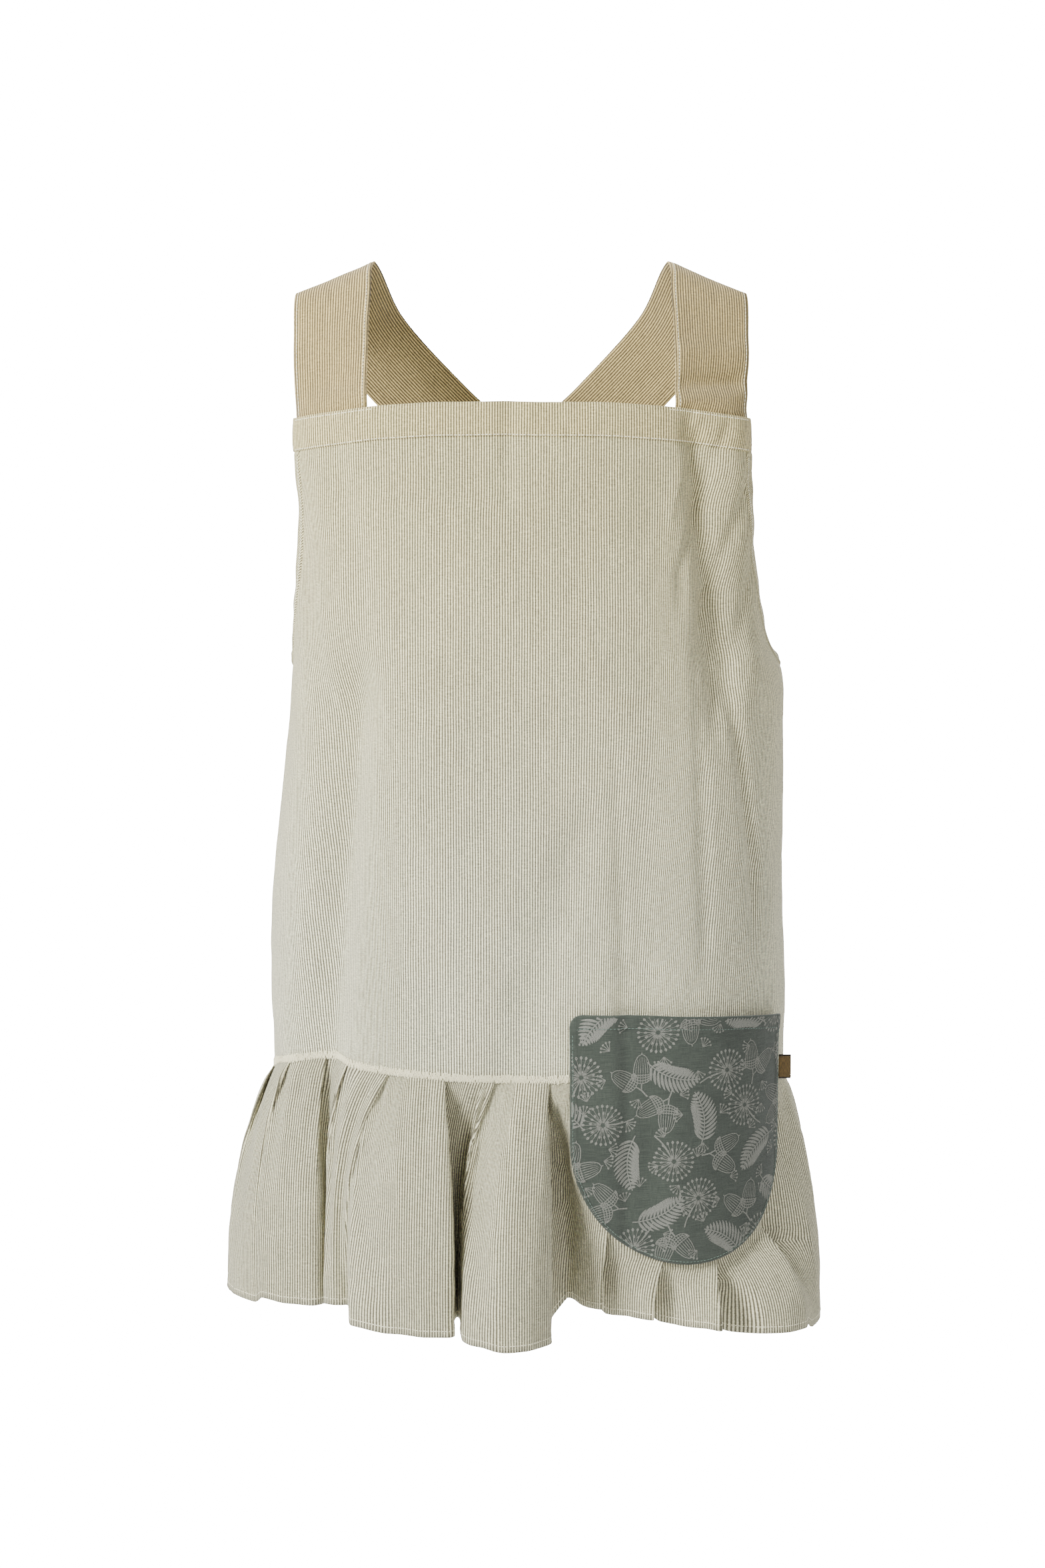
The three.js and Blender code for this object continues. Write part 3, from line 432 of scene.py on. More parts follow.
def shell(name, outer, inner, weave, strips=1, mirrored=False):
    """A cloth with two faces and turned edges, from grids of columns and rows of points in millimetres.
    weave is the place across and down the cloth, for its stripes. The baked picture is laid out in
    strips, with the inner face squeezed below. A mirrored cloth's columns run the other way."""
    if mirrored:
        outer, inner, weave = outer[::-1], inner[::-1], weave[::-1]
    columns, rows = outer.shape[:2]
    i, j = np.meshgrid(np.arange(columns - 1), np.arange(rows - 1), indexing="ij")
    i, j = i.ravel(), j.ravel()
    top, side = np.arange(columns - 1), np.arange(rows - 1)
    zero, last = 0 * top, 0 * top + rows - 1
    start, end = 0 * side, 0 * side + columns - 1
    corners = [
        # face: 1 outer, 0 inner, for each corner; columns; rows; part of the picture
        ((1, 1, 1, 1), (i, i, i + 1, i + 1), (j, j + 1, j + 1, j), "outer"),
        ((0, 0, 0, 0), (i, i + 1, i + 1, i), (j, j, j + 1, j + 1), "inner"),
        ((0, 1, 1, 0), (top, top, top + 1, top + 1), (zero,) * 4, "edge"),
        ((0, 0, 1, 1), (top, top + 1, top + 1, top), (last,) * 4, "edge"),
        ((0, 0, 1, 1), (start,) * 4, (side, side + 1, side + 1, side), "edge"),
        ((0, 1, 1, 0), (end,) * 4, (side, side, side + 1, side + 1), "edge"),
    ]
    loops, picture = [], []
    rim, inner_top, edge_low = 0.004, 0.14, 0.148
    for faces, cs, rs, part in corners:
        c, r = np.stack(cs, 1), np.stack(rs, 1)
        face = np.broadcast_to(np.array(faces), c.shape)
        loops.append((face * columns + c) * rows + r)
        strip = np.minimum(c.min(1, keepdims=True) * strips // (columns - 1), strips - 1)
        along = c * strips / (columns - 1) - strip
        down = 1 - r / (rows - 1)
        if part == "edge":
            low, high, share = edge_low, edge_low + rim, face
            along = np.where(np.ptp(c, axis=1, keepdims=True) > 0, c / (columns - 1), r / (rows - 1))
        else:
            low, high = (rim, inner_top) if part == "inner" else (edge_low + 3 * rim, 1 - rim)
            low, high = mix(low, high, strip / strips), mix(low, high, (strip + 1) / strips) - rim / 2
            share = down
        picture.append(np.stack([mix(rim, 1 - rim, along), mix(low, high, share)], -1).reshape(-1, 2))
    quads = np.concatenate(loops)
    points = np.concatenate([inner.reshape(-1, 3), outer.reshape(-1, 3)]) * MM
    mesh = bpy.data.meshes.new(name)
    mesh.vertices.add(len(points))
    mesh.vertices.foreach_set("co", points.ravel())
    mesh.loops.add(quads.size)
    mesh.loops.foreach_set("vertex_index", quads.ravel())
    mesh.polygons.add(len(quads))
    mesh.polygons.foreach_set("loop_start", np.arange(len(quads)) * 4)
    mesh.update(calc_edges=True)
    mesh.shade_smooth()
    both = np.concatenate([weave.reshape(-1, 2)] * 2)
    for layer, places in (("weave", both[quads.ravel()]), ("OFBake", np.concatenate(picture))):
        mesh.uv_layers.new(name=layer).data.foreach_set("uv", places.ravel())
    return mesh


def sewn(mesh, material, nodes=()):
    """Puts a finished piece on the apron."""
    mesh.materials.append(material)
    piece = bpy.data.objects.new(mesh.name, mesh)
    bpy.context.scene.collection.objects.link(piece)
    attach(piece, "root")
    if nodes:
        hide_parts(*nodes)
    return piece


class Finish:
    """A cloth's material, built from its weave's own coordinates."""

    def __init__(self, name, roughness, sheen):
        self.material = bpy.data.materials.new(name)
        self.material.use_nodes = True
        self.tree = self.material.node_tree
        self.shader = self.tree.nodes["Principled BSDF"]
        self.shader.inputs["Roughness"].default_value = roughness
        self.shader.inputs["Specular IOR Level"].default_value = 0.2
        self.shader.inputs["Sheen Weight"].default_value = sheen
        self.shader.inputs["Sheen Roughness"].default_value = 0.6
        place = self.tree.nodes.new("ShaderNodeUVMap")
        place.uv_map = "weave"
        parts = self.tree.nodes.new("ShaderNodeSeparateXYZ")
        self.tree.links.new(place.outputs[0], parts.inputs[0])
        self.across, self.down = parts.outputs[0], parts.outputs[1]

    def put(self, socket, value):
        if isinstance(value, bpy.types.NodeSocket):
            self.tree.links.new(value, socket)
        else:
            socket.default_value = value

    def maths(self, operation, *values):
        node = self.tree.nodes.new("ShaderNodeMath")
        node.operation = operation
        for socket, value in zip(node.inputs, values):
            self.put(socket, value)
        return node.outputs[0]

    def noise(self, across, down, detail=2.0, seed=0.0):
        """Noise with so many spots to the millimetre across and down the cloth, about 0.5."""
        place = self.tree.nodes.new("ShaderNodeCombineXYZ")
        self.put(place.inputs[0], self.maths("MULTIPLY", self.across, across))
        self.put(place.inputs[1], self.maths("MULTIPLY", self.down, down))
        place.inputs[2].default_value = seed
        node = self.tree.nodes.new("ShaderNodeTexNoise")
        node.inputs["Scale"].default_value = 1
        node.inputs["Detail"].default_value = detail
        self.tree.links.new(place.outputs[0], node.inputs["Vector"])
        return node.outputs["Fac"]

    def ranged(self, value, low, high, to_low=0.0, to_high=1.0):
        node = self.tree.nodes.new("ShaderNodeMapRange")
        node.interpolation_type = "SMOOTHSTEP"
        for socket, number in zip(node.inputs, (value, low, high, to_low, to_high)):
            self.put(socket, number)
        return node.outputs[0]

    def mixed(self, share, first, second, how="MIX"):
        node = self.tree.nodes.new("ShaderNodeMix")
        node.data_type = "RGBA"
        node.blend_type = how
        for number, value in zip((0, 6, 7), (share, first, second)):
            self.put(node.inputs[number], value)
        return node.outputs[2]

    def tinted(self, base, *shares):
        """A colour times a share for each of red, green and blue, or one share for all."""
        tint = self.tree.nodes.new("ShaderNodeCombineColor")
        for socket, share in zip(tint.inputs, shares * 3 if len(shares) == 1 else shares):
            self.put(socket, share)
        return self.mixed(1.0, base, tint.outputs[0], "MULTIPLY")

    def relief(self, height, depth):
        """Raises the surface by height, from 0 to 1, times depth in metres."""
        bump = self.tree.nodes.new("ShaderNodeBump")
        bump.inputs["Distance"].default_value = depth
        self.put(bump.inputs["Height"], height)
        self.tree.links.new(bump.outputs[0], self.shader.inputs["Normal"])

    def colour(self, value):
        self.put(self.shader.inputs["Base Color"], value)


STRIPE_PITCH = 2.4
STRIPE_WOBBLE = 1.5  # how far the stripes stray, in millimetres
STRIPE_RAGGED = 1.8
STRIPE_FROM = -0.42  # cream turns grey between these two heights of the stripes' wave
STRIPE_TO = 0.5
THREAD_PITCH = 0.42
TWILL_SLANT = 0.62
TWILL_THREADS = 1.6  # threads from one line of the twill to the next
WEFT_HEIGHT = 0.12
TWILL_HEIGHT = 0.2
WEAVE_DEPTH = 0.0004
CREAM = (0.97, 0.94, 0.66, 1)
GREY_BEIGE = (0.15, 0.142, 0.088, 1)
FLECK = (0.16, 0.13, 0.085, 1)
WARM_ABOVE = (60, 700)  # the bib is a little warmer than the skirt
WEAVE_SHADES = [
    # spots to the millimetre across and down, detail, seed, noise from and to, shade from and to
    (2.2, 0.03, 2, 7, 0.25, 0.75, 0.82, 1.12),
    (0.12, 2.0, 2, 11, 0.3, 0.7, 0.72, 1.14),
    (0.4, 0.6, 3, 29, 0.3, 0.7, 0.86, 1.08),
    (0.012, 0.008, 2, 13, 0.3, 0.7, 0.95, 1.04),
]
WEAVE_LUMPS = [
    # spots to the millimetre across and down, detail, seed, height
    (0.06, 0.05, 3, 19, 5.0),
    (1.6, 0.3, 2, 23, 0.9),
]


def ticking(name, tint_and_painted_shade, warm_above=None):
    """Cotton ticking: cream and grey-beige warp stripes with slubs, flecks and a fine twill."""
    finish = Finish(name, roughness=0.92, sheen=0.12)
    wobble = finish.noise(0.02, 0.012, seed=3)
    wobble = finish.maths("MULTIPLY_ADD", wobble, STRIPE_WOBBLE, -STRIPE_WOBBLE / 2)
    ragged = finish.noise(1.7, 0.55, seed=5)
    ragged = finish.maths("MULTIPLY_ADD", ragged, STRIPE_RAGGED, -STRIPE_RAGGED / 2)
    shifted = finish.maths("ADD", finish.across, wobble)
    wave = finish.maths("SINE", finish.maths("MULTIPLY", shifted, 2 * math.pi / STRIPE_PITCH))
    stripe = finish.ranged(finish.maths("ADD", wave, ragged), STRIPE_FROM, STRIPE_TO)
    shade = 1.0
    for across, down, detail, seed, low, high, dark, light in WEAVE_SHADES:
        part = finish.ranged(finish.noise(across, down, detail, seed), low, high, dark, light)
        shade = finish.maths("MULTIPLY", shade, part)
    # The shares tint the cloth in its own colour; on the ruffle their darker, greyer values are painted
    # shade.
    shares = [finish.ranged(finish.down, *warm_above, share, 1) if warm_above else share for share in tint_and_painted_shade]
    shares = [finish.maths("MULTIPLY", shade, share) for share in shares]
    woven = finish.tinted(finish.mixed(stripe, CREAM, GREY_BEIGE), *shares)
    fleck = finish.ranged(finish.noise(0.9, 0.6, 1.0, seed=17), 0.72, 0.78, 0, 0.6)
    finish.colour(finish.mixed(fleck, woven, FLECK))
    turns = 2 * math.pi / THREAD_PITCH
    slope = finish.maths("MULTIPLY_ADD", finish.down, TWILL_SLANT, finish.across)
    twill = finish.maths("SINE", finish.maths("MULTIPLY", slope, turns / TWILL_THREADS))
    threads = finish.maths("SINE", finish.maths("MULTIPLY", finish.down, turns))
    height = finish.maths("MULTIPLY_ADD", threads, WEFT_HEIGHT, finish.maths("MULTIPLY", twill, TWILL_HEIGHT))
    for across, down, detail, seed, raised in WEAVE_LUMPS:
        height = finish.maths("MULTIPLY_ADD", finish.noise(across, down, detail, seed), raised, height)
    finish.relief(height, WEAVE_DEPTH)
    return finish.material


skirt_ticking = ticking("skirt_ticking", (0.9, 0.83, 0.63), WARM_ABOVE)

FRONT_COLUMNS = 252
FRONT_ROWS = 150
BIB_SHARE = 22 / 36  # share of the columns that end under the band
FRONT_WRINKLES = [(0.9, 34, 1.5), (0.3, 13, 4.5)]  # out, size, seed


def front_place(share, down):
    """Girth and level of a place on the front panel, share from -1 to 1 and down from 0 to 1."""
    side = np.where(share < 0, -1.0, 1.0)
    size = np.abs(share)
    inset = HEM_WIDTH - TUCK
    across = side * (BIB_HALF - inset) * size / BIB_SHARE
    level = bib_line(across) - BAND_HEIGHT + TUCK
    hollow = (size - BIB_SHARE) / (1 - BIB_SHARE)
    girth = girth_of(across, level)
    for way in (-1, 1):
        edge = open_edge(way, np.clip(hollow, 0, 1), inset)
        here = (hollow > 0) & (side == way)
        girth, level = np.where(here, edge[0], girth), np.where(here, edge[1], level)
    foot = share * UNDERARM_SHARE
    return mix(girth, foot, down), mix(level, seam_level(foot) + SEAM_HEIGHT / 2 - TUCK, down)


share, down = grid(-1, 1, FRONT_COLUMNS, FRONT_ROWS)
girth, level = front_place(share, down)
weave = stripes_at(girth, level)
inward = down * (SEAM_DROP - BIB_DROP)  # from the edge under the band and the hems
rough = under_edge(wrinkled(weave, FRONT_WRINKLES), inward)
outer, inner = cloth(girth, level, CLOTH_WALL + rough), cloth(girth, level, rough)
front_mesh = shell("front_panel_cloth", outer, inner, weave)
front_cloth = sewn(front_mesh, skirt_ticking, ["front_panel"])

# The two back panels: the same ticking from the side seams to the opening behind, hemmed along the top
# and down the free edge. They hang from the straps, so they're a little hollow towards the middle.
BACK_COLUMNS = 120
BACK_ROWS = 90
BACK_WIDE = 290
BACK_WRINKLES = [(0.9, 34, 7.5)]  # out, size, seed
BACK_WAVES = 4.0  # how far the loose back swings in and out
BACK_WAVE_TURN = 8.5
WAVE_FADES = (1.4, 6, 4)  # how fast the waves fade at the top, at the side seam and at the foot
EDGE_TURN = 9  # the free edge's turned hem
EDGE_STEP = 1.2
EDGE_PUFF = 0.7


def back_foot(side, share):
    edge = 1 - BACK_OPENING / 2 / by_level(RING_LENGTH, side, -SEAM_DROP)
    return side * mix(UNDERARM_SHARE, edge, share)


for side, name in ((-1, "right"), (1, "left")):
    share, down = grid(0, 1, BACK_COLUMNS, BACK_ROWS)
    top_girth, top_level = open_edge(side, 1 + share, HEM_WIDTH - TUCK)
    foot = back_foot(side, share)
    girth = mix(top_girth, foot, down)
    level = mix(top_level, seam_level(foot) + SEAM_HEIGHT / 2 - TUCK, down)
    weave = stripes_at(girth, level)
    top_fade, side_fade, foot_fade = WAVE_FADES
    fades = smooth(down * top_fade) * smooth(share * side_fade) * smooth((1 - down) * foot_fade)
    swing = BACK_WAVES * np.sin(share * BACK_WAVE_TURN + side) * fades
    inward = down * (SEAM_DROP - UNDERARM_DROP)
    rough = under_edge(wrinkled(weave, BACK_WRINKLES) - np.abs(swing), inward)
    free_edge = EDGE_PUFF * smooth(((share - 1) * BACK_WIDE + EDGE_TURN) / EDGE_STEP)
    outer = cloth(girth, level, CLOTH_WALL + rough + free_edge)
    inner = cloth(girth, level, rough - free_edge)
    back_mesh = shell(f"back_panel_{name}_cloth", outer, inner, weave, mirrored=side < 0)
    back_cloth = sewn(back_mesh, skirt_ticking, [f"back_panel_{name}"])

# The bib's band: the top edge turned twice to the inside, so it's thicker than the cloth below, and
# sewn down with one row of cream thread near its lower fold and one near its top edge.
BAND_COLUMNS = 260
BAND_ROWS = 14
STITCH_LENGTH = 2.5
STITCH_GAP = 0.9
THREAD_RADIUS = 0.33
STITCH_SIDES = 6
STITCH_FORM = np.array(
    [
        # place along the stitch, width
        (-0.5, 0.1),
        (-0.46, 0.6),
        (-0.36, 1.0),
        (0.36, 1.0),
        (0.46, 0.6),
        (0.5, 0.1),
    ]
)
THREAD_CREAM = (0.96, 0.92, 0.68, 1)
THREAD_GRAINS = [
    # spots to the metre, noise from and to, shade from and to
    (2600, 0.3, 0.7, 0.82, 1.05),
    (700, 0.35, 0.65, 0.84, 1.0),
]
THREAD_DEPTH = 0.0001
BAND_WAVER = 0.7  # how far its edges stray from a line
BAND_WAVER_LENGTH = 40
BAND_WRINKLES = [(0.5, 21, 2.5)]  # out, size, seed
BAND_PUFF = 0.9
BAND_ROUND = 3  # how far in from its edges it reaches its full thickness
BAND_DENT = 0.4  # the part of the puff that the stitching presses flat
BAND_DENT_IN = 3.2
BAND_DENT_WIDE = 2.5
BAND_THIN = 0.7
BAND_SMOOTH = 5  # how far in from its edges the wrinkles begin
INNER_PUFF = 0.2


def tubes(name, threads, sides):
    """Threads as one mesh, each given as (middles, ways, outs, radii) along it, with closed ends."""
    points, faces = [], []
    turn = 2 * math.pi * np.arange(sides)[None, :, None] / sides
    for middles, ways, outs, radii in threads:
        cross = unit(np.cross(ways, outs))
        lift = np.cross(cross, ways)
        round_it = np.cos(turn) * cross[:, None] + np.sin(turn) * lift[:, None]
        start = len(points)
        points.extend((middles[:, None] + np.reshape(radii, (-1, 1, 1)) * round_it).reshape(-1, 3))
        for ring in range(start, len(points) - sides, sides):
            for corner in range(sides):
                a, b = ring + corner, ring + (corner + 1) % sides
                faces.append((a, b, b + sides, a + sides))
        faces.append(tuple(range(start + sides - 1, start - 1, -1)))
        faces.append(tuple(range(len(points) - sides, len(points))))
    mesh = bpy.data.meshes.new(name)
    mesh.from_pydata((np.array(points) * MM).tolist(), [], faces)
    mesh.shade_smooth()
    return mesh


def stitches(name, paths, radius=THREAD_RADIUS):
    """Rows of single stitches along paths of (points, outward directions), each half sunk in the cloth."""
    threads = []
    for path, outs in paths:
        along = run_of(path)
        for centre in np.arange(STITCH_LENGTH, along[-1] - STITCH_LENGTH, STITCH_LENGTH + STITCH_GAP):
            places = centre + STITCH_LENGTH * STITCH_FORM[:, 0]
            middles = np.stack([np.interp(places, along, path[:, k]) for k in range(3)], 1)
            out = np.array([np.interp(centre, along, outs[:, k]) for k in range(3)])
            way = np.broadcast_to(unit(middles[-1] - middles[0]), middles.shape)
            threads.append((middles, way, np.broadcast_to(out, way.shape), radius * STITCH_FORM[:, 1]))
    return tubes(name, threads, STITCH_SIDES)


def path_on(girth, level, out):
    """A path on the garment's surface, with the direction out of it at each point."""
    ox, oy = outward(girth, level)
    return cloth(girth, level, out), np.stack([ox, oy, 0 * ox], -1)


def spun_thread(name, colour):
    """Matte cotton sewing thread with its two plies."""
    finish = Finish(name, roughness=0.85, sheen=0.2)
    place = finish.tree.nodes.new("ShaderNodeTexCoord")
    shade, grains = 1.0, []
    for scale, low, high, dark, light in THREAD_GRAINS:
        grain = finish.tree.nodes.new("ShaderNodeTexNoise")
        grain.inputs["Scale"].default_value = scale
        finish.tree.links.new(place.outputs["Object"], grain.inputs["Vector"])
        grains.append(grain.outputs["Fac"])
        shade = finish.maths("MULTIPLY", shade, finish.ranged(grains[-1], low, high, dark, light))
    finish.colour(finish.tinted(colour, shade))
    finish.relief(grains[0], THREAD_DEPTH)
    return finish.material


def waver(across):
    """How far the band's edges stray up or down."""
    return BAND_WAVER * rumple(across, 0 * across, BAND_WAVER_LENGTH, 9.5)


cream_thread = spun_thread("cream_thread", THREAD_CREAM)
band_ticking = ticking("band_ticking", (0.92, 0.81, 0.56))
across, down = grid(-BIB_HALF, BIB_HALF, BAND_COLUMNS, BAND_ROWS)
level = bib_line(across) - BAND_HEIGHT * down + waver(across)
girth = girth_of(across, level)
weave = stripes_at(girth, level)
edge_line = np.minimum(down, 1 - down) * BAND_HEIGHT
pressed = BAND_DENT * (1 - smooth(np.abs(edge_line - BAND_DENT_IN) / BAND_DENT_WIDE))
puff = BAND_PUFF * smooth(edge_line / BAND_ROUND) * (1 - pressed)
rough = wrinkled(weave, BAND_WRINKLES) * smooth(edge_line / BAND_SMOOTH)
outer = cloth(girth, level, HEM_WALL - BAND_THIN + puff + rough)
band_mesh = shell("bib_band_cloth", outer, cloth(girth, level, -INNER_PUFF * puff), weave)
band_cloth = sewn(band_mesh, band_ticking, ["bib_band"])
band_rows = []
band_lines = [
    # from, to, below the top edge
    (2 - BIB_HALF, BIB_HALF - 2, BAND_HEIGHT - 1.5),
    (2 - BIB_HALF, -128, 2.4),
    (128, BIB_HALF - 2, 2.4),
]
for start, end, inset in band_lines:
    line = np.linspace(start, end, 400)
    line_level = bib_line(line) - inset + waver(line)
    band_rows.append(path_on(girth_of(line, line_level), line_level, HEM_WALL - 0.05))
sewn(stitches("bib_band_stitches", band_rows), cream_thread)

# The armhole hems: the cut edge turned twice and sewn down, a narrow wavy strip that runs on along the
# back's top edge.
HEM_COLUMNS = 220
HEM_ROWS = 6
HEM_RUN = 250  # millimetres of edge to one of place
HEM_THIN = 0.8
HEM_PUFF = 0.7
HEM_ROUND = 5
HEM_PRESSED = 0.6  # its end is pressed thin behind the band
HEM_STITCH_IN = 2.4
HEM_SLANT = 300  # the turned edge's stripes run off it aslant
EDGE_WAVE = 1.2
EDGE_WAVE_LENGTH = 23
EDGE_WAVE_OUT = 1.4
HEM_STITCH_WAVE = 0.34  # the part of the wave that reaches the stitching
STITCH_SUNK = 0.15


def edge_wave(place, side):
    """How the hem waves in and out along its run."""
    return EDGE_WAVE * rumple(place * HEM_RUN, 0 * place, EDGE_WAVE_LENGTH, 11.5 + side)


for side, name in ((-1, "right"), (1, "left")):
    place, down = grid(0, 2, HEM_COLUMNS, HEM_ROWS)
    girth, level = open_edge(side, place, HEM_WIDTH * down)
    weave = stripes_at(girth, level) + np.stack([HEM_SLANT * place, 0 * place], -1)
    wave = (1 - down) * EDGE_WAVE_OUT * edge_wave(place, side)
    roll = smooth(np.minimum(down, 1 - down) * HEM_ROUND)
    tucked = place == 0  # its end goes up behind the band
    level = level + TUCK * tucked
    thick = (HEM_WALL - HEM_THIN + HEM_PUFF * roll) * (1 - HEM_PRESSED * tucked)
    outer, inner = cloth(girth, level, thick + wave), cloth(girth, level, wave - INNER_PUFF * roll)
    hem_mesh = shell(f"armhole_hem_{name}_cloth", outer, inner, weave, mirrored=side < 0)
    hem_cloth = sewn(hem_mesh, skirt_ticking, [f"armhole_hem_{name}"])
    line = np.linspace(0.01, 1.99, 500)
    line_girth, line_level = open_edge(side, line, HEM_WIDTH - HEM_STITCH_IN)
    line_wave = HEM_STITCH_WAVE * edge_wave(line, side)
    row = path_on(line_girth, line_level, HEM_WALL - STITCH_SUNK + line_wave)
    sewn(stitches(f"armhole_hem_{name}_stitches", [row]), cream_thread)

# The straps: broad bands of doubled ticking with the stripes along them, topstitched near both edges.
# Each is caught behind the bib's band, lies over the shoulder and crosses to the far side of the back.
STRAP_WIDTH = 72
STRAP_WALL = 2.2
STRAP_SPAN = 167
STRAP_LAP = 26
CROSS_LIFT = 3.4
CROSS_REACH = 0.086
BACK_FROM = 0.5
BACK_BLEND = 0.3
STRAP_STEPS = 190
STRAP_COLUMNS = 22
CROSSING_AT = 7
STRAP_RUN = 560
STRAP_WRINKLE = 0.8
STRAP_WRINKLE_LENGTH = 26
STRAP_SMOOTH = 6  # how far in from its edges the wrinkles begin
STRAP_PUFF = 0.5
STRAP_ROUND = 2.2
STRAP_THIN = 0.35
STRAP_STITCH_IN = 3.2
STRAP_DENT = 0.35
STRAP_DENT_WIDE = 1.3
STRAP_INNER_PUFF = 0.3
STRAP_LINE = np.array(
    [
        # across, out, drop, yaw, bank
        (1.0, -0.495, 1.32, 28, 10),
        (1.005, -0.44, 1.02, 26, 10),
        (1.01, -0.25, 0.52, 16, 15),
        (1.0, -0.03, 0.13, 2, 22),
        (0.96, 0.22, 0.16, -10, 25),
        (0.81, 0.5, 0.62, -20, 34),
        (0.45, 0.7, 1.22, -14, 42),
        (0.0, 0.785, 1.84, 0, 44),
        (-0.34, 0.81, 2.42, 8, 36),
        (-0.53, 0.815, 3.03, 12, 26),
    ]
)


def curve_through(points, places):
    """Points on a smooth curve through the first axis of points, at places counted in points."""
    points = np.concatenate([[2 * points[0] - points[1]], points, [2 * points[-1] - points[-2]]])
    places = np.clip(places, 0, len(points) - 3 - 1e-9)
    row = places.astype(int)
    p0, p1, p2, p3 = (points[row + step] for step in range(4))
    steps = (p1 - p0, p2 - p1, p3 - p2)
    d0, d1, d2 = (np.maximum(np.linalg.norm(step, axis=-1)[..., None], 1e-6) ** 0.5 for step in steps)
    low = ((p1 - p0) / d0 - (p2 - p0) / (d0 + d1) + (p2 - p1) / d1) * d1
    high = ((p2 - p1) / d1 - (p3 - p1) / (d1 + d2) + (p3 - p2) / d2) * d1
    share = (places - row).reshape((-1,) + (1,) * (points.ndim - 1))
    return bent(share, p1, p2, low, high)


strap_rows = STRAP_LINE * (STRAP_SPAN, CHEST_DEPTH, -BIB_DROP, 1, 1)
strap_rows[0, 2] = bib_line(STRAP_SPAN) - STRAP_LAP
strap_rows[-1, 2] = BACK_EDGE_RISE - UNDERARM_DROP - STRAP_LAP
STRAP_CREASES = [
    # along, across, wide, slant, out
    (0.135, 0.3, 0.013, 0.35, -3.4),
    (0.112, 0.5, 0.012, 0.4, 2.6),
    (0.09, 0.7, 0.011, 0.45, -3),
    (0.19, 0.45, 0.02, 0.15, 2.4),
]


def strap_faces(side, lift, share, wide, outs):
    """Points on a strap, share along it from the bib and wide across it from 0 to 1, mirrored by side."""
    last = len(strap_rows) - 1
    line = curve_through(strap_rows[:, :3], share * last)
    step = 1e-3
    ahead = curve_through(strap_rows[:, :3], np.clip(share + step, 0, 1) * last)
    before = curve_through(strap_rows[:, :3], np.clip(share - step, 0, 1) * last)
    along = unit(ahead - before)
    row = np.minimum((share * last).astype(int), last - 1)
    part = smooth(share * last - row)
    yaw, bank = (np.radians(mix(strap_rows[row, k], strap_rows[row + 1, k], part)) for k in (3, 4))
    level_way = np.stack([np.cos(yaw) * np.cos(bank), np.sin(yaw) * np.cos(bank), -np.sin(bank)], -1)
    level_way -= along * np.sum(level_way * along, -1, keepdims=True)
    level_way = unit(level_way)
    out = unit(np.cross(level_way, along))
    away = np.abs(share - CROSSING_AT / last) / CROSS_REACH
    raised = lift * smooth(2 - away)
    creased = 0
    for place, middle, narrow, slant, depth in STRAP_CREASES if side > 0 else []:
        off = (share - place - slant * 0.1 * (wide - middle)) / narrow
        creased = creased + depth * np.exp(-off * off) * smooth(4 * (wide + 0.1)) * smooth(4 * (1.1 - wide))
    faces = []
    for face in outs:
        aside, over = STRAP_WIDTH * (wide - 0.5), raised + face + creased
        point = line + level_way * aside[..., None] + out * over[..., None]
        behind = share > 0.5
        lap = np.clip((bib_line(point[..., 0]) + STRAP_LAP - point[..., 2]) / STRAP_LAP, 0, 1)
        settled = np.clip((share - BACK_FROM) / (1 - BACK_FROM) / BACK_BLEND, 0, 1)
        girth = girth_of(point[..., 0] * side, point[..., 2], behind)
        lain = cloth(girth, point[..., 2], raised + face - STRAP_WALL - CLEARANCE)
        lain[..., 0] *= side
        point = mix(point, lain, smooth(np.where(behind, settled, lap))[..., None])
        point[..., 0] *= side
        faces.append(point)
    return faces


strap_ticking = ticking("strap_ticking", (0.69, 0.54, 0.31))
for side, name, lift in ((-1, "right", 0), (1, "left", CROSS_LIFT)):
    share, wide = grid(0, 1, STRAP_STEPS, STRAP_COLUMNS)
    edge = np.minimum(wide, 1 - wide) * STRAP_WIDTH
    dent = STRAP_DENT * np.exp(-(((edge - STRAP_STITCH_IN) / STRAP_DENT_WIDE) ** 2))
    puff = STRAP_PUFF * smooth(edge / STRAP_ROUND) - dent
    rough = rumple(share * STRAP_RUN, wide * STRAP_WIDTH, STRAP_WRINKLE_LENGTH, 21.5 + side)
    rough = STRAP_WRINKLE * rough * smooth(edge / STRAP_SMOOTH)
    outs = (rough - STRAP_INNER_PUFF * puff).ravel(), (STRAP_WALL - STRAP_THIN + puff + rough).ravel()
    faces = strap_faces(side, lift, share.ravel(), wide.ravel(), outs)
    inner, outer = (face.reshape(share.shape + (3,)) for face in faces)
    travelled = run_of(outer[:, STRAP_COLUMNS // 2])
    weave = np.stack([wide * STRAP_WIDTH, np.broadcast_to(travelled[:, None], wide.shape)], -1)
    strap_mesh = shell(f"strap_{name}_cloth", outer, inner, weave, mirrored=side < 0)
    strap_cloth = sewn(strap_mesh, strap_ticking, [f"strap_{name}"])
    rows = []
    for place in (STRAP_STITCH_IN, STRAP_WIDTH - STRAP_STITCH_IN):
        line = np.linspace(0.02, 0.98, 600)
        at = np.full(600, place / STRAP_WIDTH)
        low, high = strap_faces(side, lift, line, at, (0.0, STRAP_WALL - 0.1))
        rows.append((high, unit(high - low)))
    sewn(stitches(f"strap_{name}_stitches", rows), cream_thread)

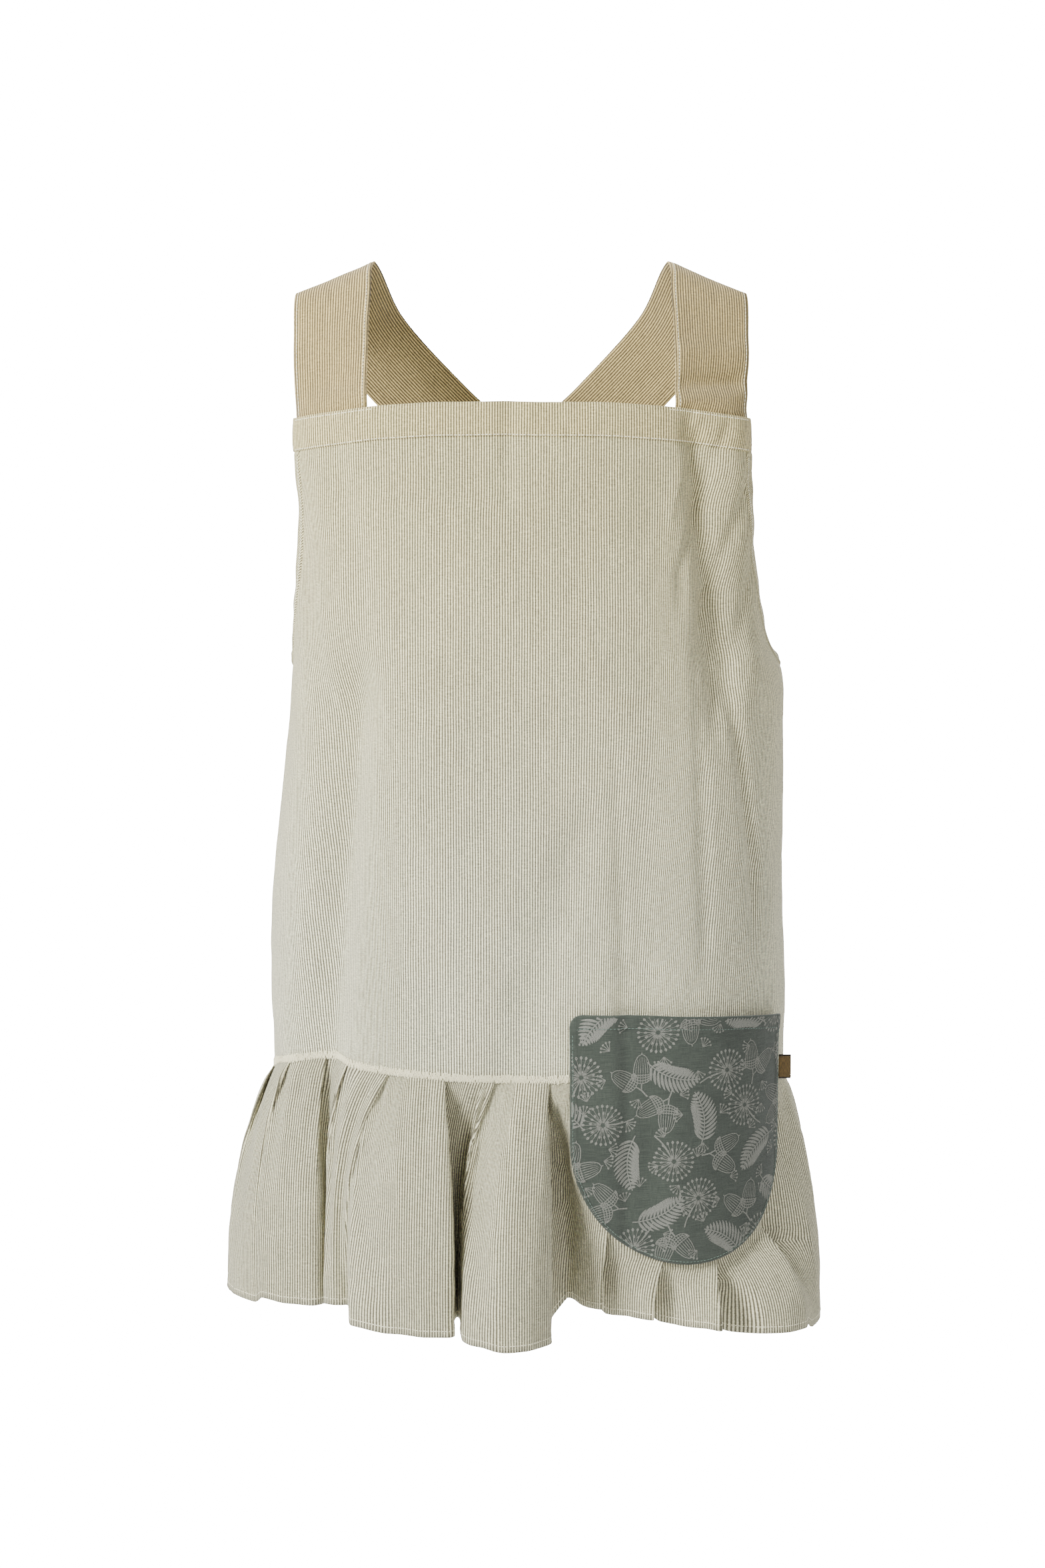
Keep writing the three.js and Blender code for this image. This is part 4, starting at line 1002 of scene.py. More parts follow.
# The ruffle's seam: skirt and ruffle are overlocked together with the thread on the outside, a bed of
# cream loops about 8 mm tall over the raw edges.
SEAM_COLUMNS = 420
SEAM_ROWS = 6
SEAM_OUT = 2.0
LOOP_PITCH = 3.5
LOOP_STEPS = 10
LOOP_RADIUS = 0.36
LOOP_HEIGHT = 3.6
LOOP_COLOUR = (0.8, 0.75, 0.5, 1)
LOOP_SIDES = 5
LOOP_STRANDS = [
    # phase, tall, raised
    (0, 1, 0.2),
    (0.37, 0.86, 0.45),
    (0.7, 0.94, 0.3),
]
LOOP_STRAY = 1.6
LOOP_SWAY = 0.75
LOOP_UNEVEN = 0.45
LOOP_LIFT = 0.4
LOOP_END = 3
SEAM_SWELL = 0.7

seam_ends = float(back_foot(-1, 1)), float(back_foot(1, 1))
girth, down = grid(*seam_ends, SEAM_COLUMNS, SEAM_ROWS)
level = seam_level(girth) + SEAM_HEIGHT * (0.5 - down)
swell = SEAM_SWELL * smooth(np.minimum(down, 1 - down) * 4)
outer, inner = cloth(girth, level, SEAM_OUT - 0.6 + swell), cloth(girth, level, 0)
seam_mesh = shell("ruffle_seam_cloth", outer, inner, stripes_at(girth, level))
seam_cloth = sewn(seam_mesh, skirt_ticking, ["ruffle_seam"])

seam_girth = np.linspace(*seam_ends, 4000)
seam_run = run_of(cloth(seam_girth, seam_level(seam_girth), SEAM_OUT))
threads = []
for strand, (phase, tall, raised) in enumerate(LOOP_STRANDS):
    place = np.arange(LOOP_END, seam_run[-1] - LOOP_END, LOOP_PITCH / LOOP_STEPS)
    uneven, stray = (rumple(place, 0 * place, size, 31.5 + 7 * strand) for size in (3.1, 7.3))
    turn = 2 * np.pi * (place / LOOP_PITCH + phase) + LOOP_STRAY * stray
    along = np.interp(place + LOOP_SWAY * np.sin(2 * turn), seam_run, seam_girth)
    height = LOOP_HEIGHT * tall * np.sin(turn) * (1 + LOOP_UNEVEN * uneven) + LOOP_LIFT
    path, outs = path_on(along, seam_level(along) + height, SEAM_OUT + raised + LOOP_LIFT * uneven)
    threads.append((path, unit(np.gradient(path, axis=0)), outs, LOOP_RADIUS))
overlock_thread = spun_thread("overlock_thread", LOOP_COLOUR)
sewn(tubes("overlock_threads", threads, LOOP_SIDES), overlock_thread)

# The pocket's outline is settled before the ruffle, which hangs flat under it: a U of printed linen
# with straight sides and a round bottom, sewn on over the ruffle's seam.
POCKET_WIDTH = 214
POCKET_HEIGHT = 226
POCKET_SIDE = 112
POCKET_TOP = 649
POCKET_DROOP = 17
POCKET_AT = 147
POCKET_WALL = 1.4
POCKET_STAND = 6.4
MOUTH_BULGE = 10
POCKET_FADE = 1.25
POCKET_HOLD = 1.04
pocket_middle = float(girth_of(POCKET_AT, -SEAM_DROP))
seam_ring = float(by_level(RING_LENGTH, 1, -SEAM_DROP))
pocket_half = POCKET_WIDTH / 2 / seam_ring


def pocket_foot(across):
    """The rounded bottom's level across the pocket, from -1 to 1."""
    round_share = np.sqrt(np.maximum(1 - across**2, 0))
    droop = POCKET_DROOP * np.clip((across + 1) / 2, 0, 1) ** 2
    return -POCKET_TOP - droop - POCKET_SIDE - (POCKET_HEIGHT - POCKET_SIDE) * round_share


def pocket_held(girth):
    """The part of the ruffle's height that the pocket holds flat, 0 beyond its edges."""
    across = (girth - pocket_middle) / pocket_half
    cover = smooth((POCKET_FADE - abs(across)) / (POCKET_FADE - 1))
    below = -SEAM_DROP - pocket_foot(np.clip(across, -1, 1))
    return float(cover), float(cover * POCKET_HOLD * below / (HEM_DROP - SEAM_DROP))


# The ruffle: a strip of ticking about twice as long as the seam, laid in pleats that all turn the same
# way and swing open towards a narrow turned hem. Under the pocket it hangs flat.
FRILL_WALL = 0.9
HEM_REACH = 273
HEM_DEPTH = 200
PLEAT_PITCH = 47
PLEAT_UNDER = 11
LAYER_PITCH = 2
FLUTE_PLAY = 13
FOLD_SHARE = 0.34
FOLD_TURN = 1
OPEN_STEP = 1.3
OPEN_DOWN = 0.3
OUT_SPEED = 2.3
SPREAD_SPEED = 3
HEM_POINTS = 4
RUFFLE_FINE = 6
RUFFLE_ROWS = 44
ROW_SPACING = 1.15  # rows lie closer near the seam
PRESSED = 0.45  # the part of each pleat's layers that the seam presses flat
PRESSED_DOWN = 0.06
UNDER_SEAM = 1.5
RUFFLE_FLUTTER = 1.6
FLUTTER_LENGTH = 26
RUFFLE_WRINKLES = [(0.8, 17, 41.5)]  # out, size, seed
GATHER_WANDER = [(2.6, 60, 43.5)]
GATHER_OUT = 1.1
GATHER_PITCH = 21
TURNED_HEM = 6.5
TURNED_STEP = 1.2
TURNED_PUFF = 0.35
HEM_STITCH_UP = 5
HEM_THREAD = 0.25
FRONT_PLEATS = [
    # seam, start, crown, edge, gap, lift
    (-0.957, (-0.99, -0.08), (-1, 0), (-0.99, 0.1), (-0.982, 0.12), 0),
    (-0.885, (-0.97, 0.16), (-0.935, 0.24), (-0.9, 0.3), (-0.89, 0.31), 0),
    (-0.79, (-0.87, 0.34), (-0.785, 0.41), (-0.69, 0.445), (-0.66, 0.42), 0.006),
    (-0.672, (-0.645, 0.38), (-0.63, 0.34), (-0.63, 0.38), (-0.645, 0.44), 0.01),
    (-0.505, (-0.655, 0.5), (-0.615, 0.53), (-0.577, 0.525), (-0.567, 0.6), 0.01),
    (-0.29, (-0.562, 0.72), (-0.39, 0.885), (-0.225, 0.935), (-0.225, 0.8), 0.004),
    (-0.1, (-0.222, 0.65), (-0.21, 0.58), (-0.199, 0.65), (-0.197, 0.78), 0.002),
    (0.105, (-0.19, 0.92), (-0.045, 1.1), (0.088, 0.99), (0.085, 0.68), 0),
    (0.34, (0.15, 0.58), (0.205, 0.68), (0.264, 0.76), (0.25, 0.68), 0.02),
    (0.55, (0.275, 0.66), (0.36, 0.72), (0.432, 0.775), (0.42, 0.69), 0.01),
    (0.75, (0.45, 0.66), (0.56, 0.76), (0.652, 0.83), (0.64, 0.72), 0.003),
    (0.92, (0.67, 0.64), (0.82, 0.7), (0.94, 0.6), (0.95, 0.53), -0.008),
    (1.02, (0.965, 0.48), (1.0, 0.32), (1.005, 0.16), (1.0, 0.1), -0.014),
]
PLEAT_LINE = [
    # share, tuck, turn, layer, hem, open
    (0, 1, 0, 0.5, 0, 1),
    (0, 1, 1, 0, 0.15, 2),
    (0, 0, 2, 0.1, 0.45, 3),
    (0.4, 0, 0, 1.5, 0.85, 0),
    (0.75, 0, 0, 2, 1.4, 0),
    (1, 0, -1, 2, 1.85, -3),
    (1, 0, 0, 1.5, 2, -2),
    (1, 0, -1, 1, 2.2, -1),
    (1, 1, 1, 1, 3.1, 0),
]
PLAIN_PLEAT = ((0.92, -1), (0.45, 0.6), (0, 1), (0.02, -0.3))  # back from the edge, out


def seam_ways(girth):
    """The directions out of the garment and along it at the seam."""
    ox, oy = (float(value) for value in outward(girth, -SEAM_DROP))
    return np.array([ox, oy]), np.array([-oy, ox])


def hem_point(girth, out, lift):
    """A place on the hem behind, where the pleats are plain."""
    x, y = bare(girth, -SEAM_DROP)
    side = 1 if girth >= 0 else 0
    half = np.abs(RING[side, int(SEAM_DROP / LEVEL_STEP), :, 0]).max()
    ox, oy = outward(girth, -SEAM_DROP)
    deepen = (HEM_DEPTH - FLUTE_PLAY) / -bare(0, -SEAM_DROP)[1]
    swing = out * FLUTE_PLAY
    return (x * (HEM_REACH - FLUTE_PLAY) / half + ox * swing, y * deepen + oy * swing, -HEM_DROP * (1 - lift))


def plain_pleats(start, end, lift, extra):
    count = max(2, round((end - start) * seam_ring / PLEAT_PITCH))
    width = (end - start) / count
    edges = [start + width * (n + 1) for n in range(count - 1 + extra)]
    return [
        (edge, [hem_point(edge - width * back, out, lift) for back, out in PLAIN_PLEAT]) for edge in edges
    ]


front_rows = []
for seam, start, crown, edge, gap, lift in FRONT_PLEATS:
    hem = [(a * HEM_REACH, -b * HEM_DEPTH, -HEM_DROP * (1 - lift)) for a, b in (start, crown, edge, gap)]
    front_rows.append((float(girth_of(seam * SIDE_REACH, -SEAM_DROP)), hem))
pleats = (
    plain_pleats(seam_ends[0], front_rows[0][0], FRONT_PLEATS[0][5], 0)
    + front_rows
    + plain_pleats(front_rows[-1][0], seam_ends[1], FRONT_PLEATS[-1][5], 1)
)
hem_line = np.array([point for _, hem in pleats for point in hem])


def turns_over(index):
    """A fold turns over on its way down where the next pleat comes out in front of its edge."""
    girth, hem = pleats[index]
    out = np.array(outward(girth, -SEAM_DROP))
    step = np.array(pleats[index + 1][1][0][:2]) - np.array(hem[2][:2])
    return step @ out > LAYER_PITCH


def tuck_of(index):
    before = pleats[index - 1][0] if index else seam_ends[0]
    return min(PLEAT_UNDER, FOLD_SHARE * (pleats[index][0] - before) * seam_ring)


columns = []
for index, (edge_girth, hem) in enumerate(pleats):
    last_edge = pleats[index - 1][0] if index else seam_ends[0]
    closing = index == len(pleats) - 1
    for number, (share, tucked, turned, layer, hem_place, opened) in enumerate(PLEAT_LINE):
        if closing and share == 1 and layer < 2:
            continue
        edge = index - 1 if share == 0 else index
        tuck = tucked * tuck_of(edge) if edge >= 0 else 0
        if closing and share == 1:
            turned = 0
        place = min(index * HEM_POINTS + hem_place, len(hem_line) - 1)
        column = {
            "girth": mix(last_edge, edge_girth, share) + (turned * FOLD_TURN - tuck) / seam_ring,
            "out": layer * LAYER_PITCH,
            "hem": curve_through(hem_line, np.array([place]))[0],
            "starts": number == 0 and index > 0,
            "crown": number == 4,
            "edge": number == 6,
            "shows": number == 2,
            "fold": None,
        }
        if opened and 0 <= edge < len(pleats) - 1 and turns_over(edge):
            between = mix(np.array(pleats[edge][1][2]), np.array(pleats[edge + 1][1][0]), 0.5)
            column["fold"] = (pleats[edge][0], between, opened * OPEN_STEP)
        columns.append(column)

row_down = np.linspace(0, 1, RUFFLE_ROWS + 1) ** ROW_SPACING


def ruffle_column(column):
    """The points of one column of the ruffle, from the seam to the hem."""
    girth, out = column["girth"], column["out"]
    under, held = pocket_held(girth)
    free = np.clip((row_down - held) / (1 - held), 0, 1)
    flare_out = 1 - (1 - free) ** OUT_SPEED
    flare_along = 1 - (1 - mix(row_down, free, under)) ** SPREAD_SPEED

    def travel(at, layer, hem):
        out_way, along_way = seam_ways(at)
        top = cloth(at, -SEAM_DROP, layer + FRILL_WALL / 2)[:2]
        way = hem[:2] - top
        aside, off = way @ along_way * flare_along, way @ out_way * flare_out
        return top + aside[:, None] * along_way + off[:, None] * out_way

    place = travel(girth, out, column["hem"])
    if column["fold"]:
        at, hem, opened = column["fold"]
        flat = seam_ways(at)[1] * opened
        at_seam = (cloth(girth, -SEAM_DROP, out) - cloth(at, -SEAM_DROP, LAYER_PITCH))[:2]
        at_hem = column["hem"][:2] - hem[:2]
        early = smooth(row_down / OPEN_DOWN)[:, None]
        late = smooth((row_down - OPEN_DOWN) / (1 - OPEN_DOWN))[:, None]
        step = np.where(row_down[:, None] < OPEN_DOWN, mix(at_seam, flat, early), mix(flat, at_hem, late))
        place = travel(at, LAYER_PITCH, hem) + step
    press = PRESSED * out * (1 - smooth(row_down / PRESSED_DOWN))
    place = place - press[:, None] * seam_ways(girth)[0]
    top = float(seam_level(girth)) - SEAM_HEIGHT / 2 + UNDER_SEAM
    return np.concatenate([place, mix(top, column["hem"][2], row_down)[:, None]], 1)


coarse = np.stack([ruffle_column(column) for column in columns])
fine_places = np.arange((len(columns) - 1) * RUFFLE_FINE + 1) / RUFFLE_FINE
ruffle = curve_through(coarse, fine_places)

along_hem = run_of(ruffle[:, -1])
flutter = RUFFLE_FLUTTER * rumple(along_hem, 0 * along_hem, FLUTTER_LENGTH, 47.5)
ruffle[..., 2] += flutter[:, None] * row_down[None, :] ** 4

# The stripes stay upright on every pleat's crown, and what doesn't match is hidden in the folds.
run = np.zeros(ruffle.shape[:2])
run[1:] = np.cumsum(np.linalg.norm(np.diff(ruffle[..., :2], axis=0), axis=2), axis=0)
fine_of = {}
for key in ("crown", "edge", "shows"):
    fine_of[key] = [i * RUFFLE_FINE for i, column in enumerate(columns) if column[key]]
crowns = fine_of["crown"]
crown_place = run[crowns].mean(1)
ruffle_across = run - run[crowns[0]] + crown_place[0]
for index in range(len(crowns) - 1):
    left, right = crowns[index], crowns[index + 1]
    gone = (left + fine_of["edge"][index]) // 2
    back = ([place for place in fine_of["shows"] if left < place < right][0] + right) // 2
    here = crown_place[index] + run[left:right] - run[left]
    there = crown_place[index + 1] - (run[right] - run[left:right])
    share = np.clip((run[left:right] - run[gone]) / (run[back] - run[gone]), 0, 1)
    ruffle_across[left:right] = mix(here, there, share)
ruffle_across[crowns[-1] :] = crown_place[-1] + run[crowns[-1] :] - run[crowns[-1]]

slope = unit(np.gradient(ruffle[..., :2], axis=0) + 1e-9)
ruffle_out = np.stack([slope[..., 1], -slope[..., 0], 0 * slope[..., 0]], -1)
hem_height = (1 - row_down) * (HEM_DROP - SEAM_DROP)
places = np.stack([ruffle_across, np.broadcast_to(hem_height, ruffle_across.shape)], -1)
gather = np.sin(2 * np.pi * ruffle_across / GATHER_PITCH + wrinkled(places, GATHER_WANDER))
wrinkle = wrinkled(places, RUFFLE_WRINKLES) + GATHER_OUT * gather * (1 - row_down) ** 2
wrinkle = (wrinkle * smooth(row_down / 0.1))[..., None]
turned = smooth((TURNED_HEM - hem_height) / TURNED_STEP)[None, :, None]
half_wall = FRILL_WALL / 2 + TURNED_PUFF * turned
outer = ruffle + ruffle_out * (half_wall + wrinkle)
inner = ruffle - ruffle_out * (half_wall - wrinkle)
weave = places * (1, -1) + (0, HEM_DROP)

starts = [i for i, column in enumerate(columns) if column["starts"]]
joins = []
for at in (-UNDERARM_SHARE, UNDERARM_SHARE):
    joins.append(min(starts, key=lambda i: abs(columns[i]["girth"] - at)) * RUFFLE_FINE)
ruffle_parts = [
    # name, first column, last column, cut, strips of the baked picture
    ("ruffle_back_right", 0, joins[0], (0.45, 0.238), 3),
    ("ruffle_front", joins[0], joins[1], (1.07, 0.238), 5),
    ("ruffle_back_left", joins[1], len(ruffle) - 1, (0.41, 0.238), 3),
]
hem_row = int(np.argmin(np.abs(hem_height - HEM_STITCH_UP)))
# The ruffle's ticking is the skirt's cloth tinted darker and greyer: painted shade for the ruffle hanging
# lower, where less light reaches it.
ruffle_ticking_painted_shade = ticking("ruffle_ticking_painted_shade", (0.76, 0.745, 0.705))
for name, first, last, cut, strips in ruffle_parts:
    part = slice(first, last + 1)
    mesh = shell(f"{name}_cloth", outer[part], inner[part], weave[part], strips)
    ruffle_cloth = sewn(mesh, ruffle_ticking_painted_shade, [name])
    row = (outer[part, hem_row] + 0.05 * ruffle_out[part, hem_row], ruffle_out[part, hem_row])
    sewn(stitches(f"{name}_hem_stitches", [row], HEM_THREAD), cream_thread)

# The pocket: grey-green linen with slubs across it, its edges turned under and sewn close to the fold
# with green thread, its mouth standing a little open.
POCKET_COLUMNS = 130
POCKET_ROWS = 120
POCKET_CORNER = 12  # the mouth's rounded inner corner
POCKET_FLARE = 6  # how far its far corner stands off
LINEN_GREEN = (0.021, 0.028, 0.021, 1)
LINEN_PALE = (0.048, 0.058, 0.045, 1)
THREAD_GREEN = (0.12, 0.18, 0.145, 1)
POCKET_WRINKLES = [(0.8, 46, 51.5), (0.3, 17, 53.5)]  # out, size, seed
POCKET_SMOOTH = 10  # how far in from its edges the wrinkles begin
POCKET_THIN = 0.5
EDGE_TUCK = (0.5, 7)  # thickness and width of the turned edge
MOUTH_HEM = (0.4, 14)  # and of the mouth's hem
EDGE_CURL = 1.2
POCKET_STITCH_IN = 2.6
MOUTH_STITCH_IN = 12
POCKET_THREAD = 0.24
POCKET_THREAD_OUT = 0.15


def pocket_rim(across):
    """The mouth's level across the pocket, from -1 to 1."""
    corner = POCKET_CORNER / (POCKET_WIDTH / 2)
    into = np.clip((corner - 1 - across) / corner, 0, 1)
    rounded = POCKET_CORNER * (1 - np.sqrt(np.maximum(1 - into**2, 0)))
    return -POCKET_TOP - POCKET_DROOP * np.clip((across + 1) / 2, 0, 1) ** 2 - rounded


def on_pocket(across, level, out):
    """A point on the pocket, across from -1 to 1."""
    girth = pocket_middle + across * pocket_half
    over_seam = smooth((-POCKET_TOP - level) / (SEAM_DROP - POCKET_TOP - SEAM_HEIGHT))
    mouth = MOUTH_BULGE * (1 - across**2) * (1 - over_seam) ** 2
    flare = POCKET_FLARE * smooth((across - 0.4) / 0.6) * (1 - over_seam)
    stand = mix(CLOTH_WALL + CLEARANCE, POCKET_STAND, over_seam) + mouth + flare
    point = cloth(girth, np.maximum(level, -SEAM_DROP), stand + out)
    point[..., 2] = level
    return point


def pocket_faces(across, level):
    """How far out the linen's outer and inner faces lie, thicker where its edges are turned under."""
    edge = np.minimum((1 - np.abs(across)) * POCKET_WIDTH / 2, level - pocket_foot(across))
    wrinkles = wrinkled(np.stack([across * POCKET_WIDTH / 2, level], -1), POCKET_WRINKLES)
    rough = wrinkles * smooth(edge / POCKET_SMOOTH)
    outer = POCKET_WALL - POCKET_THIN + rough
    for inward, (thick, wide) in ((edge, EDGE_TUCK), (pocket_rim(across) - level, MOUTH_HEM)):
        outer = outer + thick * smooth((wide - inward) / 1.5) * smooth(inward / 0.8)
    return outer, rough - EDGE_CURL * smooth((EDGE_TUCK[1] - edge) / 3)


def printed_linen(name):
    """Grey-green linen with long pale slubs across it and a soft faded look."""
    finish = Finish(name, roughness=0.9, sheen=0.15)
    weft = finish.noise(0.06, 3.0, 3.0, seed=61)
    warp = finish.noise(3.0, 0.08, 3.0, seed=63)
    slub = finish.maths("MULTIPLY_ADD", weft, 0.68, finish.maths("MULTIPLY", warp, 0.32))
    base = finish.mixed(finish.ranged(slub, 0.38, 0.66), LINEN_GREEN, LINEN_PALE)
    broad = finish.ranged(finish.noise(0.02, 0.02, 3.0, seed=67), 0.3, 0.7, 0.88, 1.08)
    finish.colour(finish.tinted(base, broad))
    height = finish.maths("MULTIPLY_ADD", finish.noise(0.05, 0.05, 3.0, seed=69), 2.0, slub)
    finish.relief(height, 0.00035)
    return finish.material


across_share, down = np.meshgrid(
    -np.cos(np.pi * np.linspace(0, 1, POCKET_COLUMNS + 1)), np.linspace(0, 1, POCKET_ROWS + 1), indexing="ij"
)
level = mix(pocket_rim(across_share), pocket_foot(across_share), down)
outer, inner = (on_pocket(across_share, level, out) for out in pocket_faces(across_share, level))
weave = np.stack([across_share * POCKET_WIDTH / 2, -level], -1)
pocket_mesh = shell("pocket_cloth", outer, inner, weave)
pocket_cloth = sewn(pocket_mesh, printed_linen("printed_linen"), ["pocket"])


def pocket_path(across, level, out):
    points = on_pocket(across, level, out)
    ox, oy = outward(pocket_middle + across * pocket_half, -SEAM_DROP)
    return points, np.stack([ox, oy, 0 * ox], -1)


around = np.sin(np.linspace(-np.pi / 2, np.pi / 2, 240))
inset_share = 1 - POCKET_STITCH_IN / (POCKET_WIDTH / 2)
side_steps = np.linspace(0, 1, 100)
round_level = pocket_foot(around) + POCKET_STITCH_IN
near_top, far_top = pocket_rim(np.array([-inset_share, inset_share])) - 2
outline = inset_share * np.concatenate([0 * side_steps - 1, around, 0 * side_steps + 1])
sides = mix(near_top, round_level[0], side_steps), mix(round_level[-1], far_top, side_steps)
outline_level = np.concatenate([sides[0], round_level, sides[1]])
mouth_across = np.linspace(-0.96, 0.96, 300)
green_thread = spun_thread("green_thread", THREAD_GREEN)
pocket_rows = [
    pocket_path(outline, outline_level, POCKET_WALL + POCKET_THREAD_OUT),
    pocket_path(mouth_across, pocket_rim(mouth_across) - MOUTH_STITCH_IN, POCKET_WALL - 0.05),
]
sewn(stitches("pocket_stitches", pocket_rows, POCKET_THREAD), green_thread)

# The print: bent fern fronds, pairs of acorns, round seed heads and small seed sprays in one pale ink,
# set in staggered rows, laid flat on the linen and cut off at its edges.
INK_PALE = (0.17, 0.17, 0.148, 1)
INK_WORN = (0.07, 0.077, 0.064, 1)
INK_LIFT = 0.16
INK_MARGIN = 1.0
LINE_WIDTH = 0.8
THIN_WIDTH = 0.6
STEM_WIDTH = 1.2
FERN_STEM = 1.1
PAIR_STEM = 1.4
FERN_LENGTH = 50
FERN_BEND = 6
FERN_PAIRS = 13
FERN_LEAFLET = 16
FERN_WIDE = 2.5
FERN_SPREAD = 1.15
FERN_CURL = 0.3
CUP_RIM = 15
CUP_DEEP = 9
CUP_WIDE = 9.5
CUP_BANDS = (1, 0.7, 0.42, 0.16)
NUT_LONG = 17
NUT_WIDE = 7.6
NUT_RIBS = (-1, -0.72, -0.44, -0.15, 0.15, 0.44, 0.72, 1)  # the outer two are its outline
NUT_TIP = 2.2
PAIR_LEANS = (0.5, -0.52)
HEAD_REACH = 19
HEAD_RINGS = [
    # stalks, start, reach, seed's width
    (25, 2.4, 1, 2.4),
    (17, 2.2, 0.66, 2),
    (9, 1.8, 0.34, 1.6),
]
SPRAY_LEANS = (-0.8, -0.4, 0, 0.4, 0.8)
SPRAY_REACH = 7
SEED_RADIUS = 0.55
print_points, print_faces = [], []


def placed(x, y, middle, lean):
    """Places of a motif, given about its own middle, on the linen."""
    x, y = np.broadcast_arrays(np.asarray(x, float), y)
    across = middle[0] + x * math.cos(lean) - y * math.sin(lean)
    down = middle[1] + x * math.sin(lean) + y * math.cos(lean)
    return np.stack([across, down], -1)


def draw(x, y, widths, middle, lean):
    """Draws a line of a motif as a flat ribbon."""
    path = placed(x, y, middle, lean)
    way = unit(np.gradient(path, axis=0))
    side = np.stack([-way[:, 1], way[:, 0]], 1) * np.broadcast_to(widths, len(path))[:, None] / 2
    start = len(print_points)
    for one, other in zip(path + side, path - side):
        print_points.extend([one, other])
    for a in range(start, len(print_points) - 2, 2):
        print_faces.append((a, a + 2, a + 3, a + 1))


def frond(share):
    return FERN_LENGTH * (share - 0.5), FERN_BEND * (1 - 4 * (share - 0.5) ** 2)


def fern(middle, lean):
    """A bent frond: pairs of narrow leaflets that shorten towards its tip."""
    draw(*frond(np.linspace(0, 1, 20)), FERN_STEM, middle, lean)
    for pair in range(FERN_PAIRS):
        share = (pair + 1.5) / (FERN_PAIRS + 1.5)
        x, y = frond(share)
        slope = math.atan(8 * FERN_BEND * (0.5 - share) / FERN_LENGTH)
        run = np.linspace(0.04, 1, 9) * FERN_LEAFLET * math.sin(math.pi * (0.22 + 0.75 * share))
        widths = FERN_WIDE * np.sin(np.pi * np.linspace(0.1, 0.97, 9)) ** 0.7
        for side in (-1, 1):
            angle = slope + side * (FERN_SPREAD - FERN_CURL * run / FERN_LEAFLET)
            draw(x + run * np.cos(angle), y + run * np.sin(angle), widths, middle, lean)


def acorn(foot, lean):
    """A ribbed nut in a cup of crossed lines, pointing away from its foot."""
    turn = np.linspace(-np.pi / 2, np.pi / 2, 20)
    steps = np.linspace(0, 1, 6)
    draw(steps * (CUP_RIM - CUP_DEEP), 0, STEM_WIDTH, foot, lean)
    for bulge in CUP_BANDS:
        draw(CUP_RIM - CUP_DEEP * bulge * np.cos(turn), CUP_WIDE * np.sin(turn), LINE_WIDTH, foot, lean)
    for across in np.linspace(-0.84, 0.84, 8):
        deep = CUP_DEEP * math.sqrt(1 - across**2)
        draw(CUP_RIM - deep * steps, CUP_WIDE * across, THIN_WIDTH, foot, lean)
    for rib in NUT_RIBS:
        reach, widths = 0.86 - 0.2 * rib**2, np.linspace(0.8, 0.35, 12)
        if abs(rib) == 1:
            reach, widths = 1, LINE_WIDTH
        long = np.linspace(0.03, reach, 12)
        draw(CUP_RIM + NUT_LONG * long, rib * NUT_WIDE * np.sqrt(1 - 0.999 * long**2), widths, foot, lean)
    draw(CUP_RIM + NUT_LONG + NUT_TIP * steps, 0, 1.3 - steps, foot, lean)


def acorn_pair(middle, lean):
    """Two acorns from one stem, leaning apart."""
    root = placed(-0.5 * (CUP_RIM + NUT_LONG), 0, middle, lean)
    for apart in PAIR_LEANS:
        acorn(root, lean + apart)
    draw(np.linspace(-8, 0, 6), np.linspace(2, 0, 6), PAIR_STEM, root, lean)


def seed_head(middle, lean):
    """A round head of fine stalks with a drop-shaped seed on each, on a bent stem."""
    stem = np.linspace(0, 1, 14)
    draw(mix(3, 1.5 * HEAD_REACH, stem), 3 * np.sin(2.4 * stem), STEM_WIDTH, middle, lean)
    for count, near, far, seed in HEAD_RINGS:
        end = far * HEAD_REACH
        for stalk in range(count):
            turn = lean + 2 * math.pi * (stalk + 0.5) / count
            draw(np.linspace(near, end - 3, 6), 0, 0.45, middle, turn)
            draw(np.linspace(end - 3.2, end, 7), 0, seed * np.sin(np.linspace(0.3, 3, 7)), middle, turn)


def seed_spray(middle, lean):
    """A small fan of stalks with a seed at each end."""
    turn = np.linspace(0, 2 * np.pi, 8)
    for stalk in SPRAY_LEANS:
        draw(np.linspace(0, SPRAY_REACH, 6), 0, THIN_WIDTH, middle, lean + stalk)
        seed = placed(SPRAY_REACH + 1, 0, middle, lean + stalk)
        draw(SEED_RADIUS * np.cos(turn), SEED_RADIUS * np.sin(turn), 1.0, seed, 0)


MOTIF_ROWS = 6
MOTIF_COLUMNS = 6
MOTIF_STEP = (43, 40)  # across and down
MOTIF_START = (-118, 14)
MOTIF_TURN = 2.4  # each motif is turned this much from the one before
MOTIF_STRAY = 4
motifs = (acorn_pair, fern, seed_head)
for row in range(MOTIF_ROWS):
    for column in range(MOTIF_COLUMNS):
        number = row * MOTIF_COLUMNS + column
        lean = MOTIF_TURN * number
        across = MOTIF_START[0] + MOTIF_STEP[0] * (column + 0.5 * (row % 2))
        across += MOTIF_STRAY * math.sin(3.7 * number)
        down = MOTIF_START[1] + MOTIF_STEP[1] * row + MOTIF_STRAY * math.cos(2.9 * number)
        motifs[(column + 2 * row) % len(motifs)]((across, down), lean)
        seed_spray((across + 0.5 * MOTIF_STEP[0], down + 3 * math.sin(lean)), lean + 1)
        seed_spray((across + 0.12 * MOTIF_STEP[0], down + 0.55 * MOTIF_STEP[1]), -lean)

